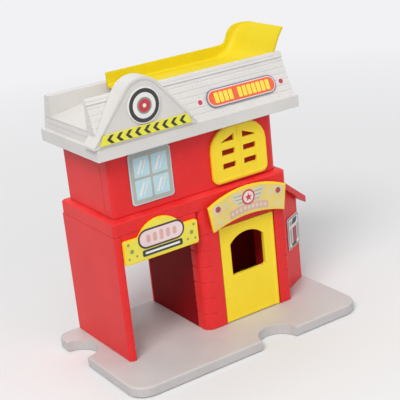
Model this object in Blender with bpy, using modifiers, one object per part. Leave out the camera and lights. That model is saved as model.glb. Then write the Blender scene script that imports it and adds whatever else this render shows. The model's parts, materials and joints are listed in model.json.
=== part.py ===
"""Toy fire station: a two-storey plastic station with a garage, a hinged door and a tipping rooftop deck.

Units are metres and +Z is up.
The front faces -Y and the garage is on the left, at -X.
The origin lies on the surface that the toy stands on, at the middle of its length and depth.
"""

import math

import bmesh
import bpy
from mathutils import Matrix, Vector

# Clearances and shared sizes
GAP = 0.0003
OVERRUN = 0.002
WELD = 0.00001
WALL = 0.0025
ROUND_SEGMENTS = 24
CORNER_STEPS = 5

# Base plate
PLATE_HEIGHT = 0.009
PLATE_LEFT_MARGIN = 0.0215
PLATE_RIGHT_MARGIN = 0.0025
PLATE_APRON = 0.046
PLATE_BACK_MARGIN = 0.003
PLATE_FRONT_CORNER = 0.016
PLATE_BACK_CORNER = 0.010
PLATE_EDGE = 0.0012
PLATE_SKIN = 0.0030
PLATE_RIM = 0.005
NOTCH_RADIUS = 0.018
FRONT_NOTCH_SHIFT = 0.0197
SIDE_NOTCH_Y = 0.030
RIB = 0.0022
RIB_COLUMNS = 10
RIB_ROWS = 6

# Ground floor walls
HOUSE_LEFT = -0.097
HOUSE_FRONT = -0.023
HOUSE_DEPTH = 0.089
LEFT_COLUMN_WIDTH = 0.0213
RIGHT_COLUMN_WIDTH = 0.0132
GROUND_HEIGHT = 0.1092
PIER_WIDTH = 0.006
PIER_CORNER = 0.003
GARAGE_WIDTH = 0.071
COLUMN_ROUND = 0.008
COLUMN_RETURN = 0.014
RIGHT_ROUND = 0.004
STEP_BACK = 0.012
WING_RUN = 0.037
WING_SET_BACK = 0.020
WING_ROUND = 0.004
WING_RETURN = 0.007
REAR_GARAGE_HEIGHT = 0.100
REAR_GARAGE_EDGE = 0.006

# Brick grooves on the two front columns
GROOVE_PITCH = 0.0145
GROOVE_COUNT = 6
GROOVE_HEIGHT = 0.0009
GROOVE_DEPTH = 0.0006
GROOVE_SIDE_RUN = 0.006
GROOVE_FRONT_RUN = 0.003
GROOVE_CORNER_STEPS = 7

# Door
DOOR_WIDTH = 0.0575
DOOR_HEIGHT = 0.0868
DOOR_LIFT = 0.0010
DOOR_SIDE_GAP = 0.0009
DOOR_THICKNESS = 0.0034
DOOR_RECESS = 0.0006
BARREL_RADIUS = 0.0026
DOOR_PIN_RADIUS = 0.0015
DOOR_PIN_LENGTH = 0.0036
DOOR_WINDOW_LEFT_MARGIN = 0.0100
DOOR_WINDOW_WIDTH = 0.0353
DOOR_WINDOW_SILL = 0.0410
DOOR_WINDOW_SIDE = 0.0290
DOOR_WINDOW_RISE = 0.0078
DOOR_WINDOW_CORNER = 0.002
LUG_WIDTH = 0.009
LUG_DEPTH = 0.0055
LUG_HEIGHT = 0.006

# Belt course between the storeys
BELT_HEIGHT = 0.0125
BELT_FACE = 0.0103
BELT_EDGE = 0.0012
BELT_SET_IN = 0.0055
BELT_SIDE = 0.004
BELT_CORNER = 0.003
BELT_SKIN = 0.0045

# Lean-to roof over the right wing
WING_ROOF_SLOPE_SHARE = 0.733
WING_ROOF_THICKNESS = 0.0065
WING_EAVE = 0.006
WING_EAVE_SIDE = 0.0095

# Upper storey walls
UPPER_FRONT_SET_IN = 0.006
UPPER_SIDE_SET_IN = 0.005
UPPER_RIGHT_SET_IN = 0.001
UPPER_BACK_SET_IN = 0.009
UPPER_HEIGHT = 0.0694
UPPER_CORNER = 0.003
UPPER_RIGHT_ROUND = 0.008
UPPER_RETURN = 0.013

# Window insert of the upper storey
INSERT_SHIFT = 0.0017
INSERT_WIDTH = 0.056
INSERT_SILL = 0.0027
INSERT_HEIGHT = 0.048
INSERT_THICKNESS = 0.0027
INSERT_TOP_ROUND = 0.020
INSERT_BOTTOM_ROUND = 0.006
PANE_WIDTH = 0.0130
PANE_HEIGHT = 0.0050
PANE_BAR = 0.0085
PANE_LOWER_ROW = 0.0113
PANE_MIDDLE_ROW = 0.0230
PANE_TOP_ROW = 0.0345
PANE_TOP_HEIGHT = 0.0058
PANE_TOP_LOW_SHARE = 0.12

# Roof
ROOF_LEFT_OVERHANG = 0.007
ROOF_RIGHT_OVERHANG = 0.0185
ROOF_FRONT_OVERHANG = 0.005
ROOF_BACK_OVERHANG = 0.002
EAVE_DROP = 0.0169
LIP_HEIGHT = 0.010
LIP_STEP = 0.0025
LIP_STEP_RISE = 0.0005
FASCIA_HEIGHT = 0.0307
FASCIA_LEAN = 0.0125
END_LEAN = 0.0012
BACK_LEAN = 0.006
RIM_HEIGHT = 0.005
RIM_STEP = 0.0008
RIM_LEAN = 0.0018
ROOF_SKIN = 0.0027
CEILING_GAP = 0.0003
CHANNEL_WIDTH = 0.0603
CHANNEL_FRONT_SKIN = 0.0042
CHANNEL_DEPTH = 0.016
CHANNEL_END_SKIN = 0.0029
CHANNEL_END_HEIGHT = 0.008
REAR_PARAPET_DROP = 0.007
CHUTE_CLEARANCE = 0.003
CHUTE_DROP = 0.009
ATTIC_INSET = 0.004

# Gable on the roof front
GABLE_INSET = 0.044
GABLE_HALF_WIDTH = 0.0470
GABLE_FRONT_STEP = 0.0004
GABLE_DEPTH = 0.0164
GABLE_FOOT = 0.0103
GABLE_SHOULDER = 0.0122
GABLE_ROUND = 0.020
GABLE_ROUND_HEIGHT = 0.0382

# Tipping launch deck
DECK_INSET = 0.057
DECK_SIDE_GAP = 0.0003
DECK_FLOOR = 0.0025
DECK_FLOOR_LIFT = 0.0045
RAIL_THICKNESS = 0.0022
RAIL_HEIGHT = 0.009
RAIL_INSET = 0.00003
RAIL_SWEEP = 0.0095
DECK_CURVE_INSET = 0.0275
SCOOP_RUN = 0.0340
SCOOP_RISE = 0.0290
SCOOP_CURVE_SHARES = (
    (0.12, 0.004), (0.24, 0.022), (0.35, 0.065), (0.45, 0.135), (0.53, 0.225), (0.60, 0.330),
    (0.66, 0.450), (0.72, 0.580), (0.79, 0.715), (0.88, 0.850), (1.0, 1.0),
)
SCOOP_FRONT_ROUND = 0.003
SCOOP_WALL_RUN_SHARES = (0.92, 0.78, 0.64, 0.54, 0.46, 0.40, 0.355, 0.33)
SCOOP_WALL_RISE_SHARES = (0.998, 0.985, 0.950, 0.895, 0.810, 0.690, 0.540, 0.400)
RAIL_END_RUN = 0.0215
DECK_PIVOT_RUN = 0.007
TRUNNION_RADIUS = 0.0018
TRUNNION_REACH = 0.003
DECK_RIB = 0.002
DECK_RIB_LENGTH = 0.090
DECK_RIB_INSET = 0.008

# Signs and labels
SIGN_THICKNESS = 0.0025
DOOR_SIGN_SHIFT = 0.00105
DOOR_SIGN_TOP_WIDTH = 0.0805
DOOR_SIGN_BOTTOM_WIDTH = 0.0735
DOOR_SIGN_BOTTOM = 0.0890
DOOR_SIGN_TOP = 0.1115
DOOR_SIGN_TOP_RISE = 0.0093
DOOR_SIGN_BOTTOM_RISE = 0.0066
DOOR_SIGN_STAND_OFF = 0.0040
DOOR_SIGN_BOSS_RADIUS = 0.003
DOOR_SIGN_BOSS_SPREAD = 0.025
DOOR_SIGN_BOSS_HEIGHT = 0.1000
SIGN_CORNER = 0.002
GARAGE_SIGN_THICKNESS = 0.0032
GARAGE_SIGN_WIDTH = 0.070
GARAGE_SIGN_INSET = 0.0005
GARAGE_SIGN_BOTTOM = 0.0847
GARAGE_SIGN_SHOULDER = 0.0205
GARAGE_SIGN_ARCH_WIDTH = 0.041
GARAGE_SIGN_ARCH_RISE = 0.0118
LABEL_THICKNESS = 0.0008
PILL_LENGTH = 0.070
PILL_HEIGHT = 0.0158
PILL_SHIFT = 0.0017
PILL_UP_FASCIA = 0.0140
STRIP_BOTTOM = 0.0123
STRIP_HEIGHT = 0.0085
STRIP_INSET = 0.0045
EMBLEM_RADIUS = 0.0145
EMBLEM_HEIGHT = 0.0358
EMBLEM_THICKNESS = 0.0012
PANE_LABEL_CLEARANCE = 0.0145
PANE_LABEL_WIDTH = 0.0395
PANE_LABEL_SILL = 0.0060
PANE_LABEL_HEIGHT = 0.043
PANE_LABEL_CORNER = 0.003
ALARM_WIDTH = 0.024
ALARM_HEIGHT = 0.030
ALARM_BOTTOM = 0.0362
ALARM_END_MARGIN = 0.0020
ALARM_CORNER = 0.0012

# Screw posts and screws
POST_RADIUS = 0.0042
POST_SEGMENTS = 16
LOWER_POST_INSET = 0.010
LOWER_POST_SET_BACK = 0.017
UPPER_POST_INSET = 0.0085
UPPER_POST_RIGHT_INSET = 0.022
SCREW_RADIUS = 0.0015
SCREW_HEAD_RADIUS = 0.003
SCREW_HEAD_HEIGHT = 0.0018
SCREW_GRIP = 0.009
SCREW_SEGMENTS = 12
SLOT_DEPTH = 0.0008
SLOT_WIDTH = 0.0008
SLOT_LENGTH = 0.0036

# Places that follow from the sizes above
PLATE_TOP = PLATE_HEIGHT
WALL_FOOT = PLATE_TOP + GAP
WALL_HEAD = PLATE_TOP + GROUND_HEIGHT
HOUSE_BACK = HOUSE_FRONT + HOUSE_DEPTH
PARTITION_X = HOUSE_LEFT + PIER_WIDTH + GARAGE_WIDTH
DOOR_LEFT = PARTITION_X + LEFT_COLUMN_WIDTH
DOOR_RIGHT = DOOR_LEFT + DOOR_WIDTH
COLUMN_SIDE = DOOR_RIGHT + RIGHT_COLUMN_WIDTH
WING_RIGHT = COLUMN_SIDE + WING_RUN
PLATE_LEFT = HOUSE_LEFT - PLATE_LEFT_MARGIN
PLATE_RIGHT = WING_RIGHT + PLATE_RIGHT_MARGIN
PLATE_FRONT = HOUSE_FRONT - PLATE_APRON
PLATE_BACK = HOUSE_BACK + PLATE_BACK_MARGIN
WING_FRONT_LEFT = HOUSE_FRONT + STEP_BACK
WING_FRONT_RIGHT = WING_FRONT_LEFT + WING_SET_BACK
WING_WALL_BACK = WING_FRONT_RIGHT + WING_RETURN
DOOR_FRONT = HOUSE_FRONT + DOOR_RECESS
DOOR_BOTTOM = PLATE_TOP + DOOR_LIFT
DOOR_TOP = DOOR_BOTTOM + DOOR_HEIGHT
HINGE_X = DOOR_RIGHT - BARREL_RADIUS
HINGE_Y = HOUSE_FRONT + BARREL_RADIUS
HEAD_CLEARANCE = DOOR_LIFT
BELT_BOTTOM = WALL_HEAD + GAP
BELT_TOP = BELT_BOTTOM + BELT_HEIGHT
BELT_RIGHT = COLUMN_SIDE + BELT_SIDE
UPPER_LEFT = HOUSE_LEFT + UPPER_SIDE_SET_IN
UPPER_RIGHT = COLUMN_SIDE - UPPER_RIGHT_SET_IN
UPPER_FRONT = HOUSE_FRONT + UPPER_FRONT_SET_IN
UPPER_BACK = HOUSE_BACK - UPPER_BACK_SET_IN
UPPER_FOOT = BELT_TOP + GAP
UPPER_HEAD = UPPER_FOOT + UPPER_HEIGHT
INSERT_LEFT = DOOR_LEFT + INSERT_SHIFT
ROOF_LEFT = HOUSE_LEFT - ROOF_LEFT_OVERHANG
ROOF_RIGHT = COLUMN_SIDE + ROOF_RIGHT_OVERHANG
ROOF_FRONT = HOUSE_FRONT - ROOF_FRONT_OVERHANG
ROOF_BACK = HOUSE_BACK + ROOF_BACK_OVERHANG
CEILING = UPPER_HEAD + CEILING_GAP
ROOF_BOTTOM = UPPER_HEAD - EAVE_DROP
LIP_TOP = ROOF_BOTTOM + LIP_HEIGHT
FASCIA_BOTTOM = LIP_TOP + LIP_STEP_RISE
FASCIA_TOP = FASCIA_BOTTOM + FASCIA_HEIGHT
ROOF_TOP = FASCIA_TOP + RIM_HEIGHT
FASCIA_FRONT = ROOF_FRONT + LIP_STEP
FASCIA_HEAD = FASCIA_FRONT + FASCIA_LEAN
CHANNEL_FRONT = FASCIA_HEAD + CHANNEL_FRONT_SKIN
CHANNEL_BACK = CHANNEL_FRONT + CHANNEL_WIDTH
CHANNEL_FLOOR = ROOF_TOP - CHANNEL_DEPTH
CHANNEL_RIGHT = ROOF_RIGHT - LIP_STEP - END_LEAN - CHANNEL_END_SKIN
DECK_LEFT = ROOF_LEFT + DECK_INSET
DECK_CURVE_START = ROOF_RIGHT - DECK_CURVE_INSET
CHUTE_START = DECK_LEFT - CHUTE_CLEARANCE
DECK_FRONT = CHANNEL_FRONT + DECK_SIDE_GAP
DECK_BACK = CHANNEL_BACK - DECK_SIDE_GAP
DECK_UNDERSIDE = CHANNEL_FLOOR + DECK_FLOOR_LIFT
DECK_MIDPLANE = DECK_UNDERSIDE + DECK_FLOOR / 2
PIVOT_X = DECK_LEFT + DECK_PIVOT_RUN
GABLE_FRONT = ROOF_FRONT - GABLE_FRONT_STEP
GABLE_MIDDLE = ROOF_LEFT + GABLE_INSET
DOOR_SIGN_MIDDLE = (DOOR_LEFT + DOOR_RIGHT) / 2 - DOOR_SIGN_SHIFT
PILL_LEFT = DOOR_LEFT + PILL_SHIFT
PANE_LABEL_RIGHT = PARTITION_X - PANE_LABEL_CLEARANCE
LOWER_POSTS = [
    (x, y)
    for y in (HOUSE_FRONT + LOWER_POST_SET_BACK, HOUSE_BACK - LOWER_POST_INSET)
    for x in (PARTITION_X + LOWER_POST_INSET, COLUMN_SIDE - LOWER_POST_INSET)
]
UPPER_POSTS = [
    (x, y)
    for y in (UPPER_FRONT + UPPER_POST_INSET, UPPER_BACK - UPPER_POST_INSET)
    for x in (UPPER_LEFT + UPPER_POST_INSET, UPPER_RIGHT - UPPER_POST_RIGHT_INSET)
]


def clear_scene():
    for obj in list(bpy.data.objects):
        bpy.data.objects.remove(obj, do_unlink=True)


def new_collection(name):
    collection = bpy.data.collections.new(name)
    bpy.context.scene.collection.children.link(collection)
    return collection


def plastic(name, color, roughness=0.35, metallic=0.0):
    material = bpy.data.materials.new(name)
    material.use_nodes = True
    shader = material.node_tree.nodes["Principled BSDF"]
    shader.inputs["Base Color"].default_value = (*color, 1)
    shader.inputs["Roughness"].default_value = roughness
    shader.inputs["Metallic"].default_value = metallic
    material.diffuse_color = (*color, 1)
    return material


clear_scene()
PARTS = new_collection("toy_fire_station")
CUTTERS = new_collection("cutters")
RED = plastic("red_plastic", (0.74, 0.03, 0.035))
DARK_RED = plastic("dark_red_plastic", (0.50, 0.02, 0.025))
YELLOW = plastic("yellow_plastic", (0.95, 0.68, 0.03))
GREY = plastic("light_grey_plastic", (0.66, 0.64, 0.62))
PLATE_GREY = plastic("plate_grey_plastic", (0.55, 0.52, 0.51))
ORANGE = plastic("orange_label", (0.88, 0.20, 0.07))
LABEL_YELLOW = plastic("yellow_label", (0.92, 0.85, 0.08))
LABEL_WHITE = plastic("white_label", (0.85, 0.85, 0.84))
LABEL_BLUE = plastic("blue_label", (0.45, 0.66, 0.70))
STEEL = plastic("zinc_steel", (0.60, 0.60, 0.62), 0.3, 1.0)


def make_object(name, mesh, material, frame=None):
    """Wraps a mesh as a visible part."""
    obj = bpy.data.objects.new(name, mesh)
    PARTS.objects.link(obj)
    if frame is not None:
        obj.matrix_world = frame
    mesh.materials.clear()
    mesh.materials.append(material)
    mesh.shade_smooth()
    mesh.set_sharp_from_angle(angle=math.radians(30))
    return obj


def make_helper(obj):
    """Turns an object into a hidden cutter or a shape that is joined to a part."""
    PARTS.objects.unlink(obj)
    CUTTERS.objects.link(obj)
    obj.hide_render = True
    obj.display_type = "WIRE"
    return obj


def boolean(obj, other, operation="DIFFERENCE"):
    """Cuts a helper out of obj, or joins it to obj."""
    modifier = obj.modifiers.new(operation.lower() + "_" + other.name, "BOOLEAN")
    modifier.operation = operation
    modifier.solver = "EXACT"
    modifier.object = other


def bevel(obj, width, segments=2):
    modifier = obj.modifiers.new("rounded_edges", "BEVEL")
    modifier.width = width
    modifier.segments = segments
    modifier.limit_method = "ANGLE"
    modifier.angle_limit = math.radians(50)


def mesh_from(bm, name):
    bmesh.ops.recalc_face_normals(bm, faces=bm.faces)
    mesh = bpy.data.meshes.new(name)
    bm.to_mesh(mesh)
    bm.free()
    return mesh


def add_box(bm, low, high):
    middle = (Vector(low) + Vector(high)) / 2
    size = Vector(high) - Vector(low)
    matrix = Matrix.Translation(middle) @ Matrix.Diagonal((*size, 1))
    bmesh.ops.create_cube(bm, size=1, matrix=matrix)


def blocks(name, ranges, material=RED):
    """Boxes between low and high corners, in one object."""
    bm = bmesh.new()
    for low, high in ranges:
        add_box(bm, low, high)
    return make_object(name, mesh_from(bm, name), material)


def rods(name, radius, spans, material=RED, segments=ROUND_SEGMENTS):
    """Cylinders from start to end, in one object."""
    bm = bmesh.new()
    for start, end in spans:
        run = Vector(end) - Vector(start)
        turn = run.to_track_quat("Z", "Y").to_matrix().to_4x4()
        matrix = Matrix.Translation((Vector(start) + Vector(end)) / 2) @ turn
        bmesh.ops.create_cone(
            bm, cap_ends=True, segments=segments, radius1=radius, radius2=radius, depth=run.length,
            matrix=matrix,
        )
    return make_object(name, mesh_from(bm, name), material)


def rounded(corners, closed=True, steps=CORNER_STEPS):
    """Turns (x, y, radius) corners into points, with an arc at each corner that has a radius."""
    points = []
    count = len(corners)
    for index, (x, y, radius) in enumerate(corners):
        corner = Vector((x, y))
        open_end = not closed and index in (0, count - 1)
        if radius == 0 or open_end:
            points.append((x, y))
            continue
        back = (Vector(corners[index - 1][:2]) - corner).normalized()
        ahead = (Vector(corners[(index + 1) % count][:2]) - corner).normalized()
        half = back.angle(ahead) / 2
        reach = radius / math.tan(half)
        center = corner + (back + ahead).normalized() * (radius / math.sin(half))
        start = corner + back * reach - center
        end = corner + ahead * reach - center
        sweep = start.angle_signed(end)
        for step in range(steps + 1):
            angle = -sweep * step / steps
            turned = Matrix.Rotation(angle, 2) @ start
            points.append(tuple(center + turned))
    return points


def arc(center_x, center_y, radius, start, end, steps):
    """Points on an arc between two angles in radians."""
    angles = [start + (end - start) * step / steps for step in range(steps + 1)]
    return [(center_x + radius * math.cos(a), center_y + radius * math.sin(a)) for a in angles]


def bow(left, right, height, rise, steps):
    """Points from right to left along a shallow arch over a chord."""
    chord = right - left
    radius = (chord * chord / 4 + rise * rise) / (2 * rise)
    half_angle = math.asin(chord / 2 / radius)
    return arc((left + right) / 2, height + rise - radius, radius, math.pi / 2 - half_angle,
               math.pi / 2 + half_angle, steps)


def facing_front(x, y, z):
    """Frame of an outline drawn in X and Z, with its thickness along Y."""
    return Matrix.Translation((x, y, z)) @ Matrix.Rotation(math.pi / 2, 4, "X")


def facing_side(x, y, z):
    """Frame of an outline drawn in Y and Z, with its thickness along X."""
    turn = Matrix.Rotation(math.pi / 2, 4, "Z") @ Matrix.Rotation(math.pi / 2, 4, "X")
    return Matrix.Translation((x, y, z)) @ turn


def outline_solid(name, loops, thickness, frame, material=RED):
    """A flat outline with holes, extruded evenly to both sides of its frame."""
    curve = bpy.data.curves.new(name + "_outline", "CURVE")
    curve.dimensions = "2D"
    curve.fill_mode = "BOTH"
    curve.extrude = thickness / 2
    for loop in loops:
        spline = curve.splines.new("POLY")
        spline.points.add(len(loop) - 1)
        for point, (u, v) in zip(spline.points, loop):
            point.co = (u, v, 0, 1)
        spline.use_cyclic_u = True
    guide = bpy.data.objects.new(name + "_outline", curve)
    CUTTERS.objects.link(guide)
    guide.matrix_world = frame
    bpy.context.view_layer.update()
    graph = bpy.context.evaluated_depsgraph_get()
    mesh = bpy.data.meshes.new_from_object(guide.evaluated_get(graph))
    mesh.name = name
    bm = bmesh.new()
    bm.from_mesh(mesh)
    bmesh.ops.remove_doubles(bm, verts=bm.verts, dist=WELD)
    bmesh.ops.dissolve_limit(bm, angle_limit=math.radians(1), verts=bm.verts, edges=bm.edges)
    bmesh.ops.recalc_face_normals(bm, faces=bm.faces)
    bm.to_mesh(mesh)
    bm.free()
    matrix = guide.matrix_world.copy()
    bpy.data.objects.remove(guide)
    return make_object(name, mesh, material, matrix)


def loft(name, rings, material=RED):
    """A closed solid through stacked rings with equal numbers of points."""
    bm = bmesh.new()
    levels = [[bm.verts.new(point) for point in ring] for ring in rings]
    count = len(rings[0])
    for lower, upper in zip(levels, levels[1:]):
        for index in range(count):
            after = (index + 1) % count
            bm.faces.new((lower[index], lower[after], upper[after], upper[index]))
    bm.faces.new(list(reversed(levels[0])))
    bm.faces.new(levels[-1])
    return make_object(name, mesh_from(bm, name), material)


def standing_strip(name, path, bottom, top, thickness, offset=-1.0, material=RED):
    """A wall along a plan path. The path runs left to right as seen from outside."""
    bm = bmesh.new()
    feet = [bm.verts.new((x, y, bottom)) for x, y in path]
    heads = [bm.verts.new((x, y, top)) for x, y in path]
    for index in range(len(path) - 1):
        bm.faces.new((feet[index], feet[index + 1], heads[index + 1], heads[index]))
    mesh = bpy.data.meshes.new(name)
    bm.to_mesh(mesh)
    bm.free()
    obj = make_object(name, mesh, material)
    modifier = obj.modifiers.new("thickness", "SOLIDIFY")
    modifier.thickness = thickness
    modifier.offset = offset
    modifier.use_even_offset = True
    return obj


def set_origin(obj, point, helpers=()):
    """Moves a part's origin to its joint without moving its surface."""
    matrix = Matrix.Translation(point)
    obj.data.transform(matrix.inverted() @ obj.matrix_world)
    obj.matrix_world = matrix
    for helper in helpers:
        helper.parent = obj
        helper.matrix_parent_inverse = matrix.inverted()


def rectangle(left, right, low, high, corner=0.0):
    return rounded([(left, low, corner), (right, low, corner), (right, high, corner), (left, high, corner)])


def wing_line(x, offset):
    """Y of a line in front of the angled wing wall, at a distance offset from it."""
    slope = WING_SET_BACK / WING_RUN
    stretch = math.hypot(WING_SET_BACK, WING_RUN) / WING_RUN
    return WING_FRONT_LEFT + (x - COLUMN_SIDE) * slope - offset * stretch


def wing_roof_top(x):
    """Height of the lean-to roof's upper face at x."""
    ridge = BELT_RIGHT - GAP
    return WALL_HEAD - max(0.0, x - ridge) * WING_ROOF_SLOPE_SHARE


def wing_roof_under(x):
    return wing_roof_top(x) - WING_ROOF_THICKNESS


# Base plate
def plate_pockets():
    """Ranges of the square pockets between the ribs under the plate."""
    left = PLATE_LEFT + PLATE_RIM
    front = PLATE_FRONT + PLATE_RIM
    pitch_x = (PLATE_RIGHT - PLATE_LEFT - 2 * PLATE_RIM + RIB) / RIB_COLUMNS
    pitch_y = (PLATE_BACK - PLATE_FRONT - 2 * PLATE_RIM + RIB) / RIB_ROWS
    solid_spots = [(DOOR_LEFT + FRONT_NOTCH_SHIFT, PLATE_FRONT, NOTCH_RADIUS + PLATE_RIM)]
    solid_spots.append((PLATE_LEFT, SIDE_NOTCH_Y, NOTCH_RADIUS + PLATE_RIM))
    solid_spots.append((HINGE_X, HINGE_Y, PLATE_RIM))
    solid_spots += [(x, y, PLATE_RIM + RIB) for x, y in LOWER_POSTS]
    for x in (PLATE_LEFT, PLATE_RIGHT):
        solid_spots.append((x, PLATE_FRONT, PLATE_FRONT_CORNER))
        solid_spots.append((x, PLATE_BACK, PLATE_BACK_CORNER))
    pockets = []
    for column in range(RIB_COLUMNS):
        for row in range(RIB_ROWS):
            low = Vector((left + column * pitch_x, front + row * pitch_y))
            high = low + Vector((pitch_x - RIB, pitch_y - RIB))
            clear = True
            for x, y, radius in solid_spots:
                nearest = Vector((min(max(x, low.x), high.x), min(max(y, low.y), high.y)))
                clear = clear and (nearest - Vector((x, y))).length > radius
            if clear:
                pockets.append(((low.x, low.y, -OVERRUN), (high.x, high.y, PLATE_HEIGHT - PLATE_SKIN)))
    return pockets


def base_plate():
    outline = rounded([
        (PLATE_LEFT, PLATE_FRONT, PLATE_FRONT_CORNER),
        (PLATE_RIGHT, PLATE_FRONT, PLATE_FRONT_CORNER),
        (PLATE_RIGHT, PLATE_BACK, PLATE_BACK_CORNER),
        (PLATE_LEFT, PLATE_BACK, PLATE_BACK_CORNER),
    ])
    frame = Matrix.Translation((0, 0, PLATE_HEIGHT / 2))
    plate = outline_solid("base_plate", [outline], PLATE_HEIGHT, frame, PLATE_GREY)
    bevel(plate, PLATE_EDGE)
    notch_spans = [
        ((x, y, -OVERRUN), (x, y, PLATE_HEIGHT + OVERRUN))
        for x, y in ((DOOR_LEFT + FRONT_NOTCH_SHIFT, PLATE_FRONT), (PLATE_LEFT, SIDE_NOTCH_Y))
    ]
    boolean(plate, make_helper(rods("track_notches", NOTCH_RADIUS, notch_spans, segments=32)))
    boolean(plate, make_helper(blocks("plate_pockets", plate_pockets())))
    pin_socket = ((HINGE_X, HINGE_Y, PLATE_TOP - DOOR_PIN_LENGTH), (HINGE_X, HINGE_Y, PLATE_TOP + OVERRUN))
    boolean(plate, make_helper(rods("door_pin_socket", DOOR_PIN_RADIUS + GAP, [pin_socket])))
    holes = [((x, y, -OVERRUN), (x, y, PLATE_TOP + OVERRUN)) for x, y in LOWER_POSTS]
    boolean(plate, make_helper(rods("plate_screw_holes", SCREW_RADIUS + GAP, holes, segments=SCREW_SEGMENTS)))
    seat = PLATE_HEIGHT - PLATE_SKIN
    sinks = [((x, y, -OVERRUN), (x, y, seat)) for x, y in LOWER_POSTS]
    sink_radius = SCREW_HEAD_RADIUS + GAP
    boolean(plate, make_helper(rods("plate_screw_sinks", sink_radius, sinks, segments=POST_SEGMENTS)))
    return plate


# Ground floor
def left_wall():
    """Left side wall that turns the front corner as the garage pier."""
    path = rounded([
        (HOUSE_LEFT, HOUSE_BACK, 0),
        (HOUSE_LEFT, HOUSE_FRONT, PIER_CORNER),
        (HOUSE_LEFT + PIER_WIDTH, HOUSE_FRONT, 0),
    ], closed=False)
    return standing_strip("left_wall", path, WALL_FOOT, WALL_HEAD, WALL)


def groove_cutters():
    """Thin strips that follow the two front columns, one for each brick joint."""
    left_path = rounded([
        (PARTITION_X, HOUSE_FRONT + COLUMN_ROUND + GROOVE_SIDE_RUN, 0),
        (PARTITION_X, HOUSE_FRONT, COLUMN_ROUND),
        (PARTITION_X + COLUMN_ROUND + GROOVE_FRONT_RUN, HOUSE_FRONT, 0),
    ], closed=False, steps=GROOVE_CORNER_STEPS)
    right_path = rounded([
        (COLUMN_SIDE - RIGHT_ROUND - GROOVE_FRONT_RUN, HOUSE_FRONT, 0),
        (COLUMN_SIDE, HOUSE_FRONT, RIGHT_ROUND),
        (COLUMN_SIDE, HOUSE_FRONT + RIGHT_ROUND + GROOVE_FRONT_RUN, 0),
    ], closed=False, steps=GROOVE_CORNER_STEPS)
    cutters = []
    for side, path in (("left", left_path), ("right", right_path)):
        for course in range(1, GROOVE_COUNT + 1):
            middle = PLATE_TOP + course * GROOVE_PITCH
            name = f"{side}_column_groove_{course}"
            low = middle - GROOVE_HEIGHT / 2
            high = middle + GROOVE_HEIGHT / 2
            strip = standing_strip(name, path, low, high, 2 * GROOVE_DEPTH, offset=0.0)
            cutters.append(make_helper(strip))
    return cutters


def front_wall():
    """Door wall with two rounded columns, and the angled wall of the right wing."""
    path = rounded([
        (PARTITION_X, HOUSE_FRONT + COLUMN_RETURN, 0),
        (PARTITION_X, HOUSE_FRONT, COLUMN_ROUND),
        (COLUMN_SIDE, HOUSE_FRONT, RIGHT_ROUND),
        (COLUMN_SIDE, WING_FRONT_LEFT, 0),
        (WING_RIGHT, WING_FRONT_RIGHT, WING_ROUND),
        (WING_RIGHT, WING_WALL_BACK, 0),
    ], closed=False)
    wall = standing_strip("front_wall", path, WALL_FOOT, WALL_HEAD, WALL)
    lug_low = DOOR_TOP + HEAD_CLEARANCE + GAP
    lug = blocks("hinge_lug", [(
        (HINGE_X - LUG_WIDTH / 2, HOUSE_FRONT + WALL / 2, lug_low),
        (HINGE_X + LUG_WIDTH / 2, HOUSE_FRONT + WALL + LUG_DEPTH, lug_low + LUG_HEIGHT),
    )])
    boolean(wall, make_helper(lug), "UNION")
    opening = blocks("door_opening", [(
        (DOOR_LEFT - DOOR_SIDE_GAP, HOUSE_FRONT - OVERRUN, PLATE_TOP),
        (DOOR_RIGHT + GAP, HOUSE_FRONT + WALL + OVERRUN, DOOR_TOP + HEAD_CLEARANCE),
    )])
    boolean(wall, make_helper(opening))
    socket = ((HINGE_X, HINGE_Y, DOOR_TOP), (HINGE_X, HINGE_Y, DOOR_TOP + DOOR_PIN_LENGTH + 2 * GAP))
    boolean(wall, make_helper(rods("upper_pin_socket", DOOR_PIN_RADIUS + GAP, [socket])))
    boolean(wall, make_helper(wing_roof_profile("wing_wall_trim", -GAP, WALL_HEAD + OVERRUN)))
    for groove in groove_cutters():
        boolean(wall, groove)
    return wall


def wing_roof_profile(name, grow, top=None):
    """The lean-to roof's section, drawn in X and Z and run through the whole depth."""
    left = COLUMN_SIDE + GAP
    eave = WING_RIGHT + WING_EAVE_SIDE
    ridge = BELT_RIGHT - GAP
    if top is None:
        upper = [(eave, wing_roof_top(eave)), (ridge, wing_roof_top(ridge)), (left, wing_roof_top(left))]
    else:
        upper = [(eave, top), (left, top)]
    lower = [(x, wing_roof_under(x) + grow) for x in (left, ridge, eave)]
    depth = HOUSE_BACK - HOUSE_FRONT + 2 * OVERRUN
    frame = facing_front(0, (HOUSE_BACK + HOUSE_FRONT) / 2, 0)
    return outline_solid(name, [lower + upper], depth, frame)


def wing_roof():
    """Sloped slab over the wing, with its eave line parallel to the angled wall."""
    slab = wing_roof_profile("wing_roof", 0)
    left = COLUMN_SIDE
    right = WING_RIGHT + WING_EAVE_SIDE + OVERRUN
    front = HOUSE_FRONT - 2 * OVERRUN
    front_cut = outline_solid("wing_eave_cut", [[
        (left, front),
        (right, front),
        (right, wing_line(right, WING_EAVE)),
        (left, wing_line(left, WING_EAVE)),
    ]], PLATE_HEIGHT + GROUND_HEIGHT, Matrix.Translation((0, 0, WALL_HEAD)))
    boolean(slab, make_helper(front_cut))
    rear_cut = blocks("wing_rear_cut", [(
        (left - OVERRUN, HOUSE_BACK, PLATE_TOP),
        (right, HOUSE_BACK + 2 * OVERRUN, WALL_HEAD + OVERRUN),
    )])
    boolean(slab, make_helper(rear_cut))
    return slab


def right_wall():
    left = WING_RIGHT - WALL
    return blocks("right_wall", [(
        (left, WING_WALL_BACK + GAP, WALL_FOOT),
        (WING_RIGHT, HOUSE_BACK, wing_roof_under(WING_RIGHT) - GAP),
    )])


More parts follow.
